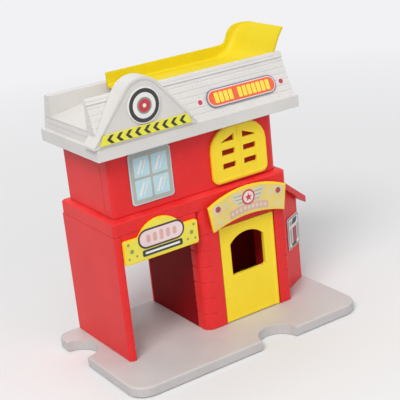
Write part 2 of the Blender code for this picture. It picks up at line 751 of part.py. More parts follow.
def back_wall():
    """Rear wall with the garage's drive-through opening, cut to the slope of the wing's roof."""
    left = HOUSE_LEFT + WALL + GAP
    right = WING_RIGHT - WALL - GAP
    ridge = BELT_RIGHT - GAP
    step = COLUMN_SIDE
    garage_left = left + REAR_GARAGE_EDGE
    garage_right = PARTITION_X - GAP
    outline = [
        (left, WALL_FOOT),
        (garage_left, WALL_FOOT),
        (garage_left, PLATE_TOP + REAR_GARAGE_HEIGHT),
        (garage_right, PLATE_TOP + REAR_GARAGE_HEIGHT),
        (garage_right, WALL_FOOT),
        (right, WALL_FOOT),
        (right, wing_roof_under(right) - GAP),
        (ridge, wing_roof_under(ridge) - GAP),
        (step, wing_roof_under(step) - GAP),
        (step, WALL_HEAD),
        (left, WALL_HEAD),
    ]
    return outline_solid("back_wall", [outline], WALL, facing_front(0, HOUSE_BACK - WALL / 2, 0))


def garage_partition():
    """Wall between the garage and the hall."""
    return blocks("garage_partition", [(
        (PARTITION_X, HOUSE_FRONT + COLUMN_RETURN + GAP, WALL_FOOT),
        (PARTITION_X + WALL, HOUSE_BACK - WALL - GAP, WALL_HEAD),
    )], DARK_RED)


# Belt course
def belt_ring(inset, height):
    corner = max(BELT_CORNER - inset / 2, WALL / 2)
    left = HOUSE_LEFT + inset
    front = HOUSE_FRONT + inset
    right = BELT_RIGHT - inset
    back = HOUSE_BACK - inset
    ring = rounded([
        (left, front, corner),
        (COLUMN_SIDE - inset, front, corner),
        (right, front + BELT_SIDE, corner / 2),
        (right, back, corner),
        (left, back, corner),
    ])
    return [(x, y, height) for x, y in ring]


def belt_course():
    """Floor tray between the storeys. Its rim is the belt on the outside, and its posts take the screws."""
    belt = loft("belt_course", [
        belt_ring(0, BELT_BOTTOM),
        belt_ring(0, BELT_BOTTOM + BELT_FACE),
        belt_ring(BELT_EDGE, BELT_BOTTOM + BELT_FACE + BELT_EDGE),
        belt_ring(BELT_SET_IN, BELT_TOP),
    ])
    recess = blocks("belt_recess", [(
        (HOUSE_LEFT + WALL, HOUSE_FRONT + WALL, BELT_BOTTOM - OVERRUN),
        (COLUMN_SIDE - WALL, HOUSE_BACK - WALL, BELT_TOP - BELT_SKIN),
    )])
    boolean(belt, make_helper(recess))
    post_top = BELT_TOP - BELT_SKIN / 2
    posts = [((x, y, WALL_FOOT), (x, y, post_top)) for x, y in LOWER_POSTS]
    boolean(belt, make_helper(rods("belt_posts", POST_RADIUS, posts, segments=POST_SEGMENTS)), "UNION")
    pilots = [((x, y, PLATE_TOP - OVERRUN), (x, y, WALL_FOOT + SCREW_GRIP + OVERRUN)) for x, y in LOWER_POSTS]
    boolean(belt, make_helper(rods("belt_post_pilots", SCREW_RADIUS + GAP, pilots, segments=SCREW_SEGMENTS)))
    holes = [((x, y, BELT_TOP - BELT_SKIN - OVERRUN), (x, y, BELT_TOP + OVERRUN)) for x, y in UPPER_POSTS]
    boolean(belt, make_helper(rods("belt_screw_holes", SCREW_RADIUS + GAP, holes, segments=SCREW_SEGMENTS)))
    return belt


# Upper storey
def upper_front_wall():
    path = rounded([
        (UPPER_LEFT, UPPER_FRONT + UPPER_RETURN, 0),
        (UPPER_LEFT, UPPER_FRONT, UPPER_CORNER),
        (UPPER_RIGHT, UPPER_FRONT, UPPER_RIGHT_ROUND),
        (UPPER_RIGHT, UPPER_FRONT + UPPER_RETURN, 0),
    ], closed=False)
    return standing_strip("upper_front_wall", path, UPPER_FOOT, UPPER_HEAD, WALL)


def upper_side_wall(name, outer, inner):
    return blocks(name, [(
        (min(outer, inner), UPPER_FRONT + UPPER_RETURN + GAP, UPPER_FOOT),
        (max(outer, inner), UPPER_BACK, UPPER_HEAD),
    )])


def upper_back_wall():
    return blocks("upper_back_wall", [(
        (UPPER_LEFT + WALL + GAP, UPPER_BACK - WALL, UPPER_FOOT),
        (UPPER_RIGHT - WALL - GAP, UPPER_BACK, UPPER_HEAD),
    )])


def window_insert():
    """Arched window frame with two slanted openings over two rows of square ones."""
    left = INSERT_LEFT
    right = INSERT_LEFT + INSERT_WIDTH
    low = UPPER_FOOT + INSERT_SILL
    outer = rounded([
        (left, low, INSERT_BOTTOM_ROUND),
        (right, low, INSERT_BOTTOM_ROUND),
        (right, low + INSERT_HEIGHT, INSERT_TOP_ROUND),
        (left, low + INSERT_HEIGHT, INSERT_TOP_ROUND),
    ])
    middle = (left + right) / 2
    loops = [outer]
    for side in (-1, 1):
        inner = middle + side * PANE_BAR / 2
        outside = inner + side * PANE_WIDTH
        for row in (PANE_LOWER_ROW, PANE_MIDDLE_ROW):
            base = low + row
            loops.append(rectangle(min(inner, outside), max(inner, outside), base, base + PANE_HEIGHT))
        base = low + PANE_TOP_ROW
        loops.append([
            (inner, base),
            (outside, base),
            (outside, base + PANE_TOP_HEIGHT * PANE_TOP_LOW_SHARE),
            (inner, base + PANE_TOP_HEIGHT),
        ])
    frame = facing_front(0, UPPER_FRONT - GAP - INSERT_THICKNESS / 2, 0)
    insert = outline_solid("window_insert", loops, INSERT_THICKNESS, frame, YELLOW)
    return insert


# Roof
def box_ring(left, right, front, back, height):
    return [(left, front, height), (right, front, height), (right, back, height), (left, back, height)]


def roof_rings(grow):
    """Rings of the roof's outside, from the lip up to the rim, grown evenly by a clearance."""
    steps = [
        (ROOF_BOTTOM - grow, 0, 0, 0),
        (LIP_TOP + grow, 0, 0, 0),
        (FASCIA_BOTTOM + grow, LIP_STEP, LIP_STEP, LIP_STEP),
        (FASCIA_TOP, LIP_STEP + FASCIA_LEAN, LIP_STEP + END_LEAN, LIP_STEP + BACK_LEAN),
    ]
    rim_front = LIP_STEP + FASCIA_LEAN - RIM_STEP
    rim_end = LIP_STEP + END_LEAN - RIM_STEP
    rim_back = LIP_STEP + BACK_LEAN - RIM_STEP
    steps.append((FASCIA_TOP + RIM_STEP, rim_front, rim_end, rim_back))
    steps.append((ROOF_TOP + grow, rim_front + RIM_LEAN, rim_end + RIM_STEP, rim_back + RIM_STEP))
    rings = []
    for height, front, end, back in steps:
        left = ROOF_LEFT + end - grow
        right = ROOF_RIGHT - end + grow
        rings.append(box_ring(left, right, ROOF_FRONT + front - grow, ROOF_BACK - back + grow, height))
    return rings


def roof_cavity():
    """Rings of the hollow under the roof, which the upper walls reach into."""
    lip_inner = LIP_TOP - ROOF_SKIN
    lean = FASCIA_LEAN * (CEILING - FASCIA_BOTTOM) / FASCIA_HEIGHT
    deep = LIP_STEP + ROOF_SKIN
    sizes = [
        (ROOF_BOTTOM - OVERRUN, ROOF_SKIN, ROOF_SKIN),
        (lip_inner, ROOF_SKIN, ROOF_SKIN),
        (lip_inner + LIP_STEP_RISE, deep, deep),
        (CEILING, deep + lean, deep + END_LEAN),
    ]
    rings = []
    for height, front, end in sizes:
        back = ROOF_BACK - end - (front - end) / 2
        rings.append(box_ring(ROOF_LEFT + end, ROOF_RIGHT - end, ROOF_FRONT + front, back, height))
    return rings


def roof_shell():
    """Roof with a leaning front fascia, a lower lip, and the channel that holds the deck."""
    roof = loft("roof_shell", roof_rings(0), GREY)
    boolean(roof, make_helper(loft("roof_hollow", roof_cavity())))
    attic = blocks("deck_hollow", [(
        (PIVOT_X + ATTIC_INSET, CHANNEL_FRONT + ATTIC_INSET, CEILING - OVERRUN),
        (CHANNEL_RIGHT - ATTIC_INSET, CHANNEL_BACK - ATTIC_INSET, CHANNEL_FLOOR - WALL),
    )])
    boolean(roof, make_helper(attic))
    post_top = CEILING + ROOF_SKIN
    posts = [((x, y, UPPER_FOOT), (x, y, post_top)) for x, y in UPPER_POSTS]
    boolean(roof, make_helper(rods("roof_posts", POST_RADIUS, posts, segments=POST_SEGMENTS)), "UNION")
    pilots = [((x, y, BELT_TOP), (x, y, UPPER_FOOT + SCREW_GRIP + OVERRUN)) for x, y in UPPER_POSTS]
    boolean(roof, make_helper(rods("roof_post_pilots", SCREW_RADIUS + GAP, pilots, segments=SCREW_SEGMENTS)))
    high = ROOF_TOP + OVERRUN
    left = ROOF_LEFT - OVERRUN
    channel = outline_solid("deck_channel", [[
        (CHANNEL_RIGHT, CHANNEL_FLOOR),
        (CHANNEL_RIGHT, high),
        (left, high),
        (left, CHANNEL_FLOOR - CHUTE_DROP),
        (CHUTE_START, CHANNEL_FLOOR),
    ]], CHANNEL_WIDTH, facing_front(0, (CHANNEL_FRONT + CHANNEL_BACK) / 2, 0))
    boolean(roof, make_helper(channel))
    end_cut = blocks("channel_end_cut", [(
        (CHANNEL_RIGHT - OVERRUN, CHANNEL_FRONT, CHANNEL_FLOOR + CHANNEL_END_HEIGHT),
        (ROOF_RIGHT + OVERRUN, CHANNEL_BACK + OVERRUN, high),
    )])
    boolean(roof, make_helper(end_cut))
    rear_cut = blocks("rear_parapet_cut", [(
        (left, CHANNEL_BACK - OVERRUN, ROOF_TOP - REAR_PARAPET_DROP),
        (ROOF_RIGHT + OVERRUN, ROOF_BACK + OVERRUN, high),
    )])
    boolean(roof, make_helper(rear_cut))
    reach = TRUNNION_REACH + GAP
    socket = (
        (PIVOT_X, CHANNEL_FRONT - reach, DECK_MIDPLANE),
        (PIVOT_X, CHANNEL_BACK + reach, DECK_MIDPLANE),
    )
    boolean(roof, make_helper(rods("trunnion_sockets", TRUNNION_RADIUS + GAP, [socket])))
    return roof


def gable_outline(inset):
    """Gable front, drawn in X and Z: upright feet, two slopes and a round top."""
    half = GABLE_HALF_WIDTH - inset
    low = ROOF_BOTTOM + GABLE_FOOT
    shoulder = ROOF_BOTTOM + GABLE_SHOULDER
    center = ROOF_BOTTOM + GABLE_ROUND_HEIGHT
    radius = GABLE_ROUND - inset
    foot = Vector((half, shoulder - center))
    tangent = math.atan2(foot.y, foot.x) + math.acos(radius / foot.length)
    top = arc(GABLE_MIDDLE, center, radius, tangent, math.pi - tangent, 2 * CORNER_STEPS)
    feet_right = [(GABLE_MIDDLE + half, low), (GABLE_MIDDLE + half, shoulder)]
    feet_left = [(GABLE_MIDDLE - half, shoulder), (GABLE_MIDDLE - half, low)]
    return feet_right + top + feet_left


def gable():
    frame = facing_front(0, GABLE_FRONT + GABLE_DEPTH / 2, 0)
    front = outline_solid("gable", [gable_outline(0)], GABLE_DEPTH, frame, GREY)
    boolean(front, make_helper(loft("gable_seat", roof_rings(GAP))))
    return front


# Launch deck
def scoop_path():
    """The deck floor's middle line in X and Z, rising into the scoop."""
    points = [(DECK_LEFT, DECK_MIDPLANE), (DECK_CURVE_START, DECK_MIDPLANE)]
    for run_share, rise_share in SCOOP_CURVE_SHARES:
        x = DECK_CURVE_START + SCOOP_RUN * run_share
        points.append((x, DECK_MIDPLANE + SCOOP_RISE * rise_share))
    return points


def front_rail(path):
    """Low rail that ends against the rising scoop."""
    top = DECK_MIDPLANE + DECK_FLOOR / 2 + RAIL_HEIGHT
    curve = [point for point in path[2:] if point[0] < DECK_CURVE_START + RAIL_END_RUN]
    outline = path[:2] + curve
    outline += [(curve[-1][0], top), (DECK_LEFT, top)]
    frame = facing_front(0, DECK_FRONT + RAIL_THICKNESS / 2 + RAIL_INSET, 0)
    return make_helper(outline_solid("deck_front_rail", [outline], RAIL_THICKNESS, frame, YELLOW))


def back_rail(path):
    """Rail that sweeps up into a high side wall behind the scoop."""
    top = DECK_MIDPLANE + DECK_FLOOR / 2 + RAIL_HEIGHT
    outline = list(path)
    for run_share, rise_share in zip(SCOOP_WALL_RUN_SHARES, SCOOP_WALL_RISE_SHARES):
        x = DECK_CURVE_START + SCOOP_RUN * run_share
        outline.append((x, DECK_MIDPLANE + SCOOP_RISE * rise_share))
    outline += [(DECK_CURVE_START + RAIL_SWEEP, top), (DECK_LEFT, top)]
    frame = facing_front(0, DECK_BACK - RAIL_THICKNESS / 2 - RAIL_INSET, 0)
    return make_helper(outline_solid("deck_back_rail", [outline], RAIL_THICKNESS, frame, YELLOW))


def launch_deck():
    """Vehicle deck with two side rails and a flared scoop, tipping about trunnions at its left end."""
    bm = bmesh.new()
    path = scoop_path()
    front = [bm.verts.new((x, DECK_FRONT, z)) for x, z in path]
    back = [bm.verts.new((x, DECK_BACK, z)) for x, z in path]
    for index in range(len(path) - 1):
        bm.faces.new((front[index], front[index + 1], back[index + 1], back[index]))
    mesh = bpy.data.meshes.new("launch_deck")
    bm.to_mesh(mesh)
    bm.free()
    deck = make_object("launch_deck", mesh, YELLOW)
    thickness = deck.modifiers.new("thickness", "SOLIDIFY")
    thickness.thickness = DECK_FLOOR
    thickness.offset = 0.0
    thickness.use_even_offset = True
    helpers = [front_rail(path), back_rail(path)]
    for rail in helpers:
        boolean(deck, rail, "UNION")
    reach = DECK_SIDE_GAP + TRUNNION_REACH
    trunnion = rods("deck_trunnions", TRUNNION_RADIUS, [(
        (PIVOT_X, DECK_FRONT - reach, DECK_MIDPLANE),
        (PIVOT_X, DECK_BACK + reach, DECK_MIDPLANE),
    )])
    helpers.append(make_helper(trunnion))
    boolean(deck, trunnion, "UNION")
    rib_left = DECK_CURVE_START - DECK_RIB_LENGTH
    rib_ranges = [
        ((rib_left, y, CHANNEL_FLOOR + GAP), (DECK_CURVE_START, y + DECK_RIB, DECK_MIDPLANE))
        for y in (DECK_FRONT + DECK_RIB_INSET, DECK_BACK - DECK_RIB_INSET - DECK_RIB)
    ]
    ribs = make_helper(blocks("deck_ribs", rib_ranges))
    helpers.append(ribs)
    boolean(deck, ribs, "UNION")
    corner = make_helper(scoop_corner_cutter())
    helpers.append(corner)
    boolean(deck, corner)
    set_origin(deck, (PIVOT_X, (DECK_FRONT + DECK_BACK) / 2, DECK_MIDPLANE), helpers)
    return deck


def scoop_corner_cutter():
    """Rounds the scoop's free top corner at the front, drawn in Y and Z."""
    top = DECK_MIDPLANE + SCOOP_RISE + DECK_FLOOR / 2
    high = top + OVERRUN
    low = top - SCOOP_FRONT_ROUND
    corner = arc(DECK_FRONT + SCOOP_FRONT_ROUND, low, SCOOP_FRONT_ROUND, math.pi / 2, math.pi, CORNER_STEPS)
    outline = corner + [(DECK_FRONT - OVERRUN, low), (DECK_FRONT - OVERRUN, high)]
    outline.append((DECK_FRONT + SCOOP_FRONT_ROUND, high))
    frame = facing_side(DECK_CURVE_START + SCOOP_RUN, 0, 0)
    return outline_solid("scoop_corner_cut", [outline], SCOOP_RUN, frame)


# Door
def door():
    """Door leaf with an arched window, a hinge barrel on its right edge and two moulded pins."""
    left = DOOR_LEFT
    sill = DOOR_BOTTOM + DOOR_WINDOW_SILL
    window_left = left + DOOR_WINDOW_LEFT_MARGIN
    window_right = window_left + DOOR_WINDOW_WIDTH
    spring = sill + DOOR_WINDOW_SIDE
    window = rounded([
        (window_left, spring, 0),
        (window_left, sill, DOOR_WINDOW_CORNER),
        (window_right, sill, DOOR_WINDOW_CORNER),
        (window_right, spring, 0),
    ], closed=False)
    window += bow(window_left, window_right, spring, DOOR_WINDOW_RISE, 2 * CORNER_STEPS)[1:-1]
    leaf_outline = rectangle(left, HINGE_X, DOOR_BOTTOM, DOOR_TOP)
    frame = facing_front(0, DOOR_FRONT + DOOR_THICKNESS / 2, 0)
    leaf = outline_solid("door", [leaf_outline, window], DOOR_THICKNESS, frame, YELLOW)
    barrel = make_helper(rods("door_barrel", BARREL_RADIUS, [
        ((HINGE_X, HINGE_Y, DOOR_BOTTOM), (HINGE_X, HINGE_Y, DOOR_TOP))
    ]))
    boolean(leaf, barrel, "UNION")
    pins = make_helper(rods("door_pins", DOOR_PIN_RADIUS, [(
        (HINGE_X, HINGE_Y, PLATE_TOP - DOOR_PIN_LENGTH + GAP),
        (HINGE_X, HINGE_Y, DOOR_TOP + DOOR_PIN_LENGTH),
    )]))
    boolean(leaf, pins, "UNION")
    set_origin(leaf, (HINGE_X, HINGE_Y, DOOR_BOTTOM), [barrel, pins])
    return leaf


# Signs and labels
def door_sign():
    """Arched sign over the door, held off the wall by two bosses."""
    low = PLATE_TOP + DOOR_SIGN_BOTTOM
    high = PLATE_TOP + DOOR_SIGN_TOP
    top_half = DOOR_SIGN_TOP_WIDTH / 2
    bottom_half = DOOR_SIGN_BOTTOM_WIDTH / 2
    middle = DOOR_SIGN_MIDDLE
    upper = bow(middle - top_half, middle + top_half, high, DOOR_SIGN_TOP_RISE, 12)
    lower = bow(middle - bottom_half, middle + bottom_half, low, DOOR_SIGN_BOTTOM_RISE, 12)
    back = HOUSE_FRONT - DOOR_SIGN_STAND_OFF
    frame = facing_front(0, back - SIGN_THICKNESS / 2, 0)
    sign = outline_solid("door_sign", [upper + list(reversed(lower))], SIGN_THICKNESS, frame, YELLOW)
    boss_z = PLATE_TOP + DOOR_SIGN_BOSS_HEIGHT
    spans = [
        ((middle + side * DOOR_SIGN_BOSS_SPREAD, back - SIGN_THICKNESS / 2, boss_z),
         (middle + side * DOOR_SIGN_BOSS_SPREAD, HOUSE_FRONT - GAP, boss_z))
        for side in (-1, 1)
    ]
    bosses = make_helper(rods("door_sign_bosses", DOOR_SIGN_BOSS_RADIUS, spans, segments=POST_SEGMENTS))
    boolean(sign, bosses, "UNION")
    return sign


def garage_sign():
    """Sign over the garage, with two shoulders and a round arch."""
    left = HOUSE_LEFT + PIER_WIDTH - GARAGE_SIGN_INSET
    right = left + GARAGE_SIGN_WIDTH
    low = PLATE_TOP + GARAGE_SIGN_BOTTOM
    shoulder = low + GARAGE_SIGN_SHOULDER
    middle = (left + right) / 2
    half = GARAGE_SIGN_ARCH_WIDTH / 2
    arch = bow(middle - half, middle + half, shoulder, GARAGE_SIGN_ARCH_RISE, 12)
    corners = rounded([(left, shoulder, SIGN_CORNER), (left, low, SIGN_CORNER), (right, low, SIGN_CORNER),
                       (right, shoulder, SIGN_CORNER)])
    frame = facing_front(0, HOUSE_FRONT - GAP - GARAGE_SIGN_THICKNESS / 2, 0)
    return outline_solid("garage_sign", [corners + arch], GARAGE_SIGN_THICKNESS, frame, YELLOW)


def pill_sign():
    """Long rounded sign on the leaning fascia."""
    radius = PILL_HEIGHT / 2
    middle = PILL_LEFT + PILL_LENGTH / 2
    straight = PILL_LENGTH / 2 - radius
    outline = arc(straight, 0, radius, -math.pi / 2, math.pi / 2, 10)
    outline += arc(-straight, 0, radius, math.pi / 2, 3 * math.pi / 2, 10)
    tilt = math.atan2(FASCIA_LEAN, FASCIA_HEIGHT)
    up = Vector((0, math.sin(tilt), math.cos(tilt)))
    out = Vector((0, -math.cos(tilt), math.sin(tilt)))
    foot = Vector((middle, FASCIA_FRONT, FASCIA_BOTTOM))
    spot = foot + up * PILL_UP_FASCIA + out * (GAP + LABEL_THICKNESS / 2)
    frame = Matrix.Translation(spot) @ Matrix.Rotation(math.pi / 2 - tilt, 4, "X")
    return outline_solid("pill_sign", [outline], LABEL_THICKNESS, frame, ORANGE)


def hazard_strip():
    """Warning strip across the foot of the gable, with ends cut along its slopes."""
    low = ROOF_BOTTOM + STRIP_BOTTOM
    high = low + STRIP_HEIGHT
    slope_outline = gable_outline(STRIP_INSET)
    foot = slope_outline[1]
    head = slope_outline[2]
    lean = (head[0] - foot[0]) / (head[1] - foot[1])
    half_low = foot[0] - GABLE_MIDDLE
    half_high = half_low + lean * STRIP_HEIGHT
    outline = [
        (GABLE_MIDDLE - half_low, low),
        (GABLE_MIDDLE + half_low, low),
        (GABLE_MIDDLE + half_high, high),
        (GABLE_MIDDLE - half_high, high),
    ]
    frame = facing_front(0, GABLE_FRONT - GAP - LABEL_THICKNESS / 2, 0)
    return outline_solid("hazard_strip", [outline], LABEL_THICKNESS, frame, LABEL_YELLOW)


def gable_emblem():
    center = ROOF_BOTTOM + EMBLEM_HEIGHT
    near = GABLE_FRONT - GAP
    span = ((GABLE_MIDDLE, near, center), (GABLE_MIDDLE, near - EMBLEM_THICKNESS, center))
    return rods("gable_emblem", EMBLEM_RADIUS, [span], LABEL_WHITE, segments=32)


def pane_label():
    left = PANE_LABEL_RIGHT - PANE_LABEL_WIDTH
    low = UPPER_FOOT + PANE_LABEL_SILL
    outline = rectangle(left, PANE_LABEL_RIGHT, low, low + PANE_LABEL_HEIGHT, PANE_LABEL_CORNER)
    frame = facing_front(0, UPPER_FRONT - GAP - LABEL_THICKNESS / 2, 0)
    return outline_solid("pane_label", [outline], LABEL_THICKNESS, frame, LABEL_BLUE)


def alarm_label():
    """Label on the angled wing wall."""
    outline = rectangle(-ALARM_WIDTH / 2, ALARM_WIDTH / 2, 0, ALARM_HEIGHT, ALARM_CORNER)
    turn = math.atan2(WING_SET_BACK, WING_RUN)
    along = Vector((math.cos(turn), math.sin(turn), 0))
    out = Vector((math.sin(turn), -math.cos(turn), 0))
    end = Vector((WING_RIGHT, WING_FRONT_RIGHT, PLATE_TOP + ALARM_BOTTOM))
    spot = end - along * (ALARM_END_MARGIN + ALARM_WIDTH / 2) + out * (GAP + LABEL_THICKNESS / 2)
    frame = Matrix.Translation(spot) @ Matrix.Rotation(turn, 4, "Z") @ Matrix.Rotation(math.pi / 2, 4, "X")
    return outline_solid("alarm_label", [outline], LABEL_THICKNESS, frame, LABEL_WHITE)


# Screws
def screw(name, x, y, seat):
    """Pan-head screw from below, with its head under the seat height and a driver slot."""
    head_top = seat - GAP
    shank_span = ((x, y, head_top - SCREW_HEAD_HEIGHT / 2), (x, y, seat + SCREW_GRIP))
    shank = rods(name, SCREW_RADIUS, [shank_span], STEEL, SCREW_SEGMENTS)
    head_low = head_top - SCREW_HEAD_HEIGHT
    head_span = ((x, y, head_low), (x, y, head_top))
    head = rods(name + "_head", SCREW_HEAD_RADIUS, [head_span], STEEL, POST_SEGMENTS)
    boolean(shank, make_helper(head), "UNION")
    slots = blocks(name + "_slot", [(
        (x - SLOT_LENGTH / 2, y - SLOT_WIDTH / 2, head_low - OVERRUN),
        (x + SLOT_LENGTH / 2, y + SLOT_WIDTH / 2, head_low + SLOT_DEPTH),
    )])
    boolean(shank, make_helper(slots))
    return shank


def screws():
    for index, (x, y) in enumerate(LOWER_POSTS, start=1):
        screw(f"base_screw_{index}", x, y, PLATE_HEIGHT - PLATE_SKIN)
    for index, (x, y) in enumerate(UPPER_POSTS, start=1):
        screw(f"roof_screw_{index}", x, y, BELT_TOP - BELT_SKIN)


def build():
    base_plate()
    left_wall()
    front_wall()
    right_wall()
    back_wall()
    garage_partition()
    wing_roof()
    belt_course()
    upper_front_wall()
    upper_side_wall("upper_left_wall", UPPER_LEFT, UPPER_LEFT + WALL)
    upper_side_wall("upper_right_wall", UPPER_RIGHT, UPPER_RIGHT - WALL)
    upper_back_wall()
    window_insert()
    roof_shell()
    gable()
    launch_deck()
    door()
    door_sign()
    garage_sign()
    pill_sign()
    hazard_strip()
    gable_emblem()
    pane_label()
    alarm_label()
    screws()


build()
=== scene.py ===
"""Visual model of the toy fire station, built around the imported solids.

Lengths are in metres, and the frame is the part's own: the front faces -Y and the garage is at -X.
"""

import json
import math

import bmesh
import bpy
from mathutils import Matrix, Vector


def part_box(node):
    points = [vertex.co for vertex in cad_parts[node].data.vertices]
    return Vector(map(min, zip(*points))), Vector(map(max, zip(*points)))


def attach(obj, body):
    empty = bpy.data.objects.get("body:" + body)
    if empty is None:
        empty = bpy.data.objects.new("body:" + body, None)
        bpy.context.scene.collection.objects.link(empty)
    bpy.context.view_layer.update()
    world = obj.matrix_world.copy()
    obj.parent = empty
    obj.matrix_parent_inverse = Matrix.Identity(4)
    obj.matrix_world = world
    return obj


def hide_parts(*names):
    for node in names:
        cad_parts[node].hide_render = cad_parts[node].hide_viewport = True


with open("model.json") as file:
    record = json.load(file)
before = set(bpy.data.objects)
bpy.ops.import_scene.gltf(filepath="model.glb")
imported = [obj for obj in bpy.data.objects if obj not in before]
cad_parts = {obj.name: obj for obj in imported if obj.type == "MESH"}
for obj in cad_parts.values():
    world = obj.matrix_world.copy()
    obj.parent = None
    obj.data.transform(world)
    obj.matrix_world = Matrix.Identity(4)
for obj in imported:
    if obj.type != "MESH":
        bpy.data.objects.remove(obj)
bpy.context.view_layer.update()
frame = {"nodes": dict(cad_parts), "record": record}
NODES = frame["nodes"]
BODIES = frame["record"]["behaviour"]["bodies"]
BODY_OF = {node: body for body, nodes in BODIES.items() for node in nodes}

# Camera
CAMERA_SPOT = Vector((-0.4655, -0.7416, 0.4298))
CAMERA_AIM = Vector((0.0, 0.0, 0.118))
CAMERA_ROLL = math.radians(6.0)
LENS = 99.0
CLIP_START = 0.05
CLIP_END = 30.0

# Shared modelling sizes
WELD = 1e-6
FLAT = math.radians(0.4)
SHARP = math.radians(32)
EMBED = 0.00003
FILM = 0.00012
SIDES = (-1, 1)

# Turn that stands an outline up, facing the front
UPRIGHT = Matrix.Rotation(math.pi / 2, 4, "X")


def tone(code):
    """Linear colour, with its alpha, of a six-digit hex code."""
    values = [int(code[i:i + 2], 16) / 255 for i in (0, 2, 4)]
    linear = [v / 12.92 if v <= 0.04045 else ((v + 0.055) / 1.055) ** 2.4 for v in values]
    return (*linear, 1)


# Materials
class Tree:
    """Small helper that adds and links the shader nodes of a material or a world."""

    def __init__(self, owner):
        owner.use_nodes = True
        self.owner = owner
        self.nodes = owner.node_tree.nodes
        self.links = owner.node_tree.links
        self.shader = self.nodes.get("Principled BSDF")

    def add(self, kind, inputs=None, **settings):
        node = self.nodes.new(kind)
        for key, value in settings.items():
            setattr(node, key, value)
        for key, value in (inputs or {}).items():
            self.feed(value, node.inputs[key])
        return node

    def feed(self, value, socket):
        if isinstance(value, bpy.types.NodeSocket):
            self.links.new(value, socket)
        else:
            socket.default_value = value

    def math(self, operation, a, b, clamp=False):
        node = self.add("ShaderNodeMath", operation=operation, use_clamp=clamp)
        self.feed(a, node.inputs[0])
        self.feed(b, node.inputs[1])
        return node.outputs[0]

    def total(self, value, *shares):
        """A value plus each mask times its weight, kept between 0 and 1."""
        for mask, weight in shares:
            value = self.math("ADD", value, self.math("MULTIPLY", mask, weight), clamp=True)
        return value

    def ramp(self, value, low, high, start=0.0, end=1.0):
        node = self.add("ShaderNodeMapRange", {
            "Value": value, "From Min": low, "From Max": high, "To Min": start, "To Max": end,
        })
        node.clamp = True
        return node.outputs["Result"]

    def place(self):
        return self.add("ShaderNodeTexCoord").outputs["Object"]

    def noise(self, place, scale, detail=2.0, stretch=None):
        if stretch:
            place = self.add("ShaderNodeMapping", {"Vector": place, "Scale": stretch}).outputs[0]
        node = self.add("ShaderNodeTexNoise", {"Vector": place, "Scale": scale, "Detail": detail})
        return node.outputs["Fac"]

    def mix(self, factor, a, b):
        """Blend of two colours, which this node takes at 6 and 7 and gives at 2."""
        node = self.add("ShaderNodeMix", data_type="RGBA")
        self.feed(factor, node.inputs[0])
        self.feed(a, node.inputs[6])
        self.feed(b, node.inputs[7])
        return node.outputs[2]

    def bump(self, height, strength, distance, normal):
        node = self.add("ShaderNodeBump", {
            "Height": height, "Strength": strength, "Distance": distance, "Normal": normal,
        })
        return node.outputs["Normal"]

    def rounded(self, radius, samples):
        return self.add("ShaderNodeBevel", {"Radius": radius}, samples=samples).outputs[0]

    def corners(self, rounded, band):
        """Mask of the edges, where the rounded normal leaves the surface's own."""
        normal = self.add("ShaderNodeNewGeometry").outputs["Normal"]
        facing = self.add("ShaderNodeVectorMath", {0: rounded, 1: normal}, operation="DOT_PRODUCT")
        return self.ramp(facing.outputs["Value"], *band)

    def seen(self):
        """Mask of the rays that show the background: camera, glossy and transmission rays."""
        path = self.add("ShaderNodeLightPath").outputs
        mask = path["Is Camera Ray"]
        for ray in ("Is Glossy Ray", "Is Transmission Ray"):
            mask = self.math("MAXIMUM", mask, path[ray])
        return mask

    def surface(self, color, roughness, normal, constants):
        """Finishes the material: three linked maps, and constants on the shader's own sockets."""
        maps = {"Base Color": color, "Roughness": roughness, "Normal": normal}
        for key, value in {**maps, **constants}.items():
            self.feed(value, self.shader.inputs[key])
        return self.owner


# Moulded plastic: noise scales, the noise's detail, and the bands from none to full
CLOUD_SCALE, CLOUD_DETAIL, CLOUD_BAND = 24.0, 3.0, (0.30, 0.70)
SPECK_SCALE, SPECK_DETAIL, SPECK_BAND = 420.0, 4.0, (0.30, 0.75)
DUST_SCALE, DUST_DETAIL, DUST_BAND = 70.0, 5.0, (0.42, 0.68)
HAIR_STRETCH, HAIR_DETAIL, HAIR_BAND = (900.0, 900.0, 36.0), 3.0, (0.66, 0.72)
GRAIN_SCALE = 2400.0
RIPPLE_SCALE = 150.0
RUB_BAND = (0.35, 0.62)
CORNER_BAND = (0.995, 0.90)
LEVEL_BAND = (0.55, 0.95)

# Moulded plastic: how much each mark tints, roughens and bumps the surface
DUST_TONE = "D9D2C8"
SPECK_TINT, HAIR_TINT = 0.05, 0.07
MATT_START = 0.05
SPECK_MATT, RUB_MATT, HAIR_MATT, DUST_MATT = 0.12, 0.14, 0.12, 0.22
GRAIN_BUMP, RIPPLE_BUMP, HAIR_BUMP = (0.22, 0.00003), (0.10, 0.00025), (0.20, 0.00002)
EDGE_ROUND, EDGE_SAMPLES = 0.0004, 6
PLASTIC_IOR = 1.50
COAT_SHARE, COAT_ROUGH = 0.08, 0.20


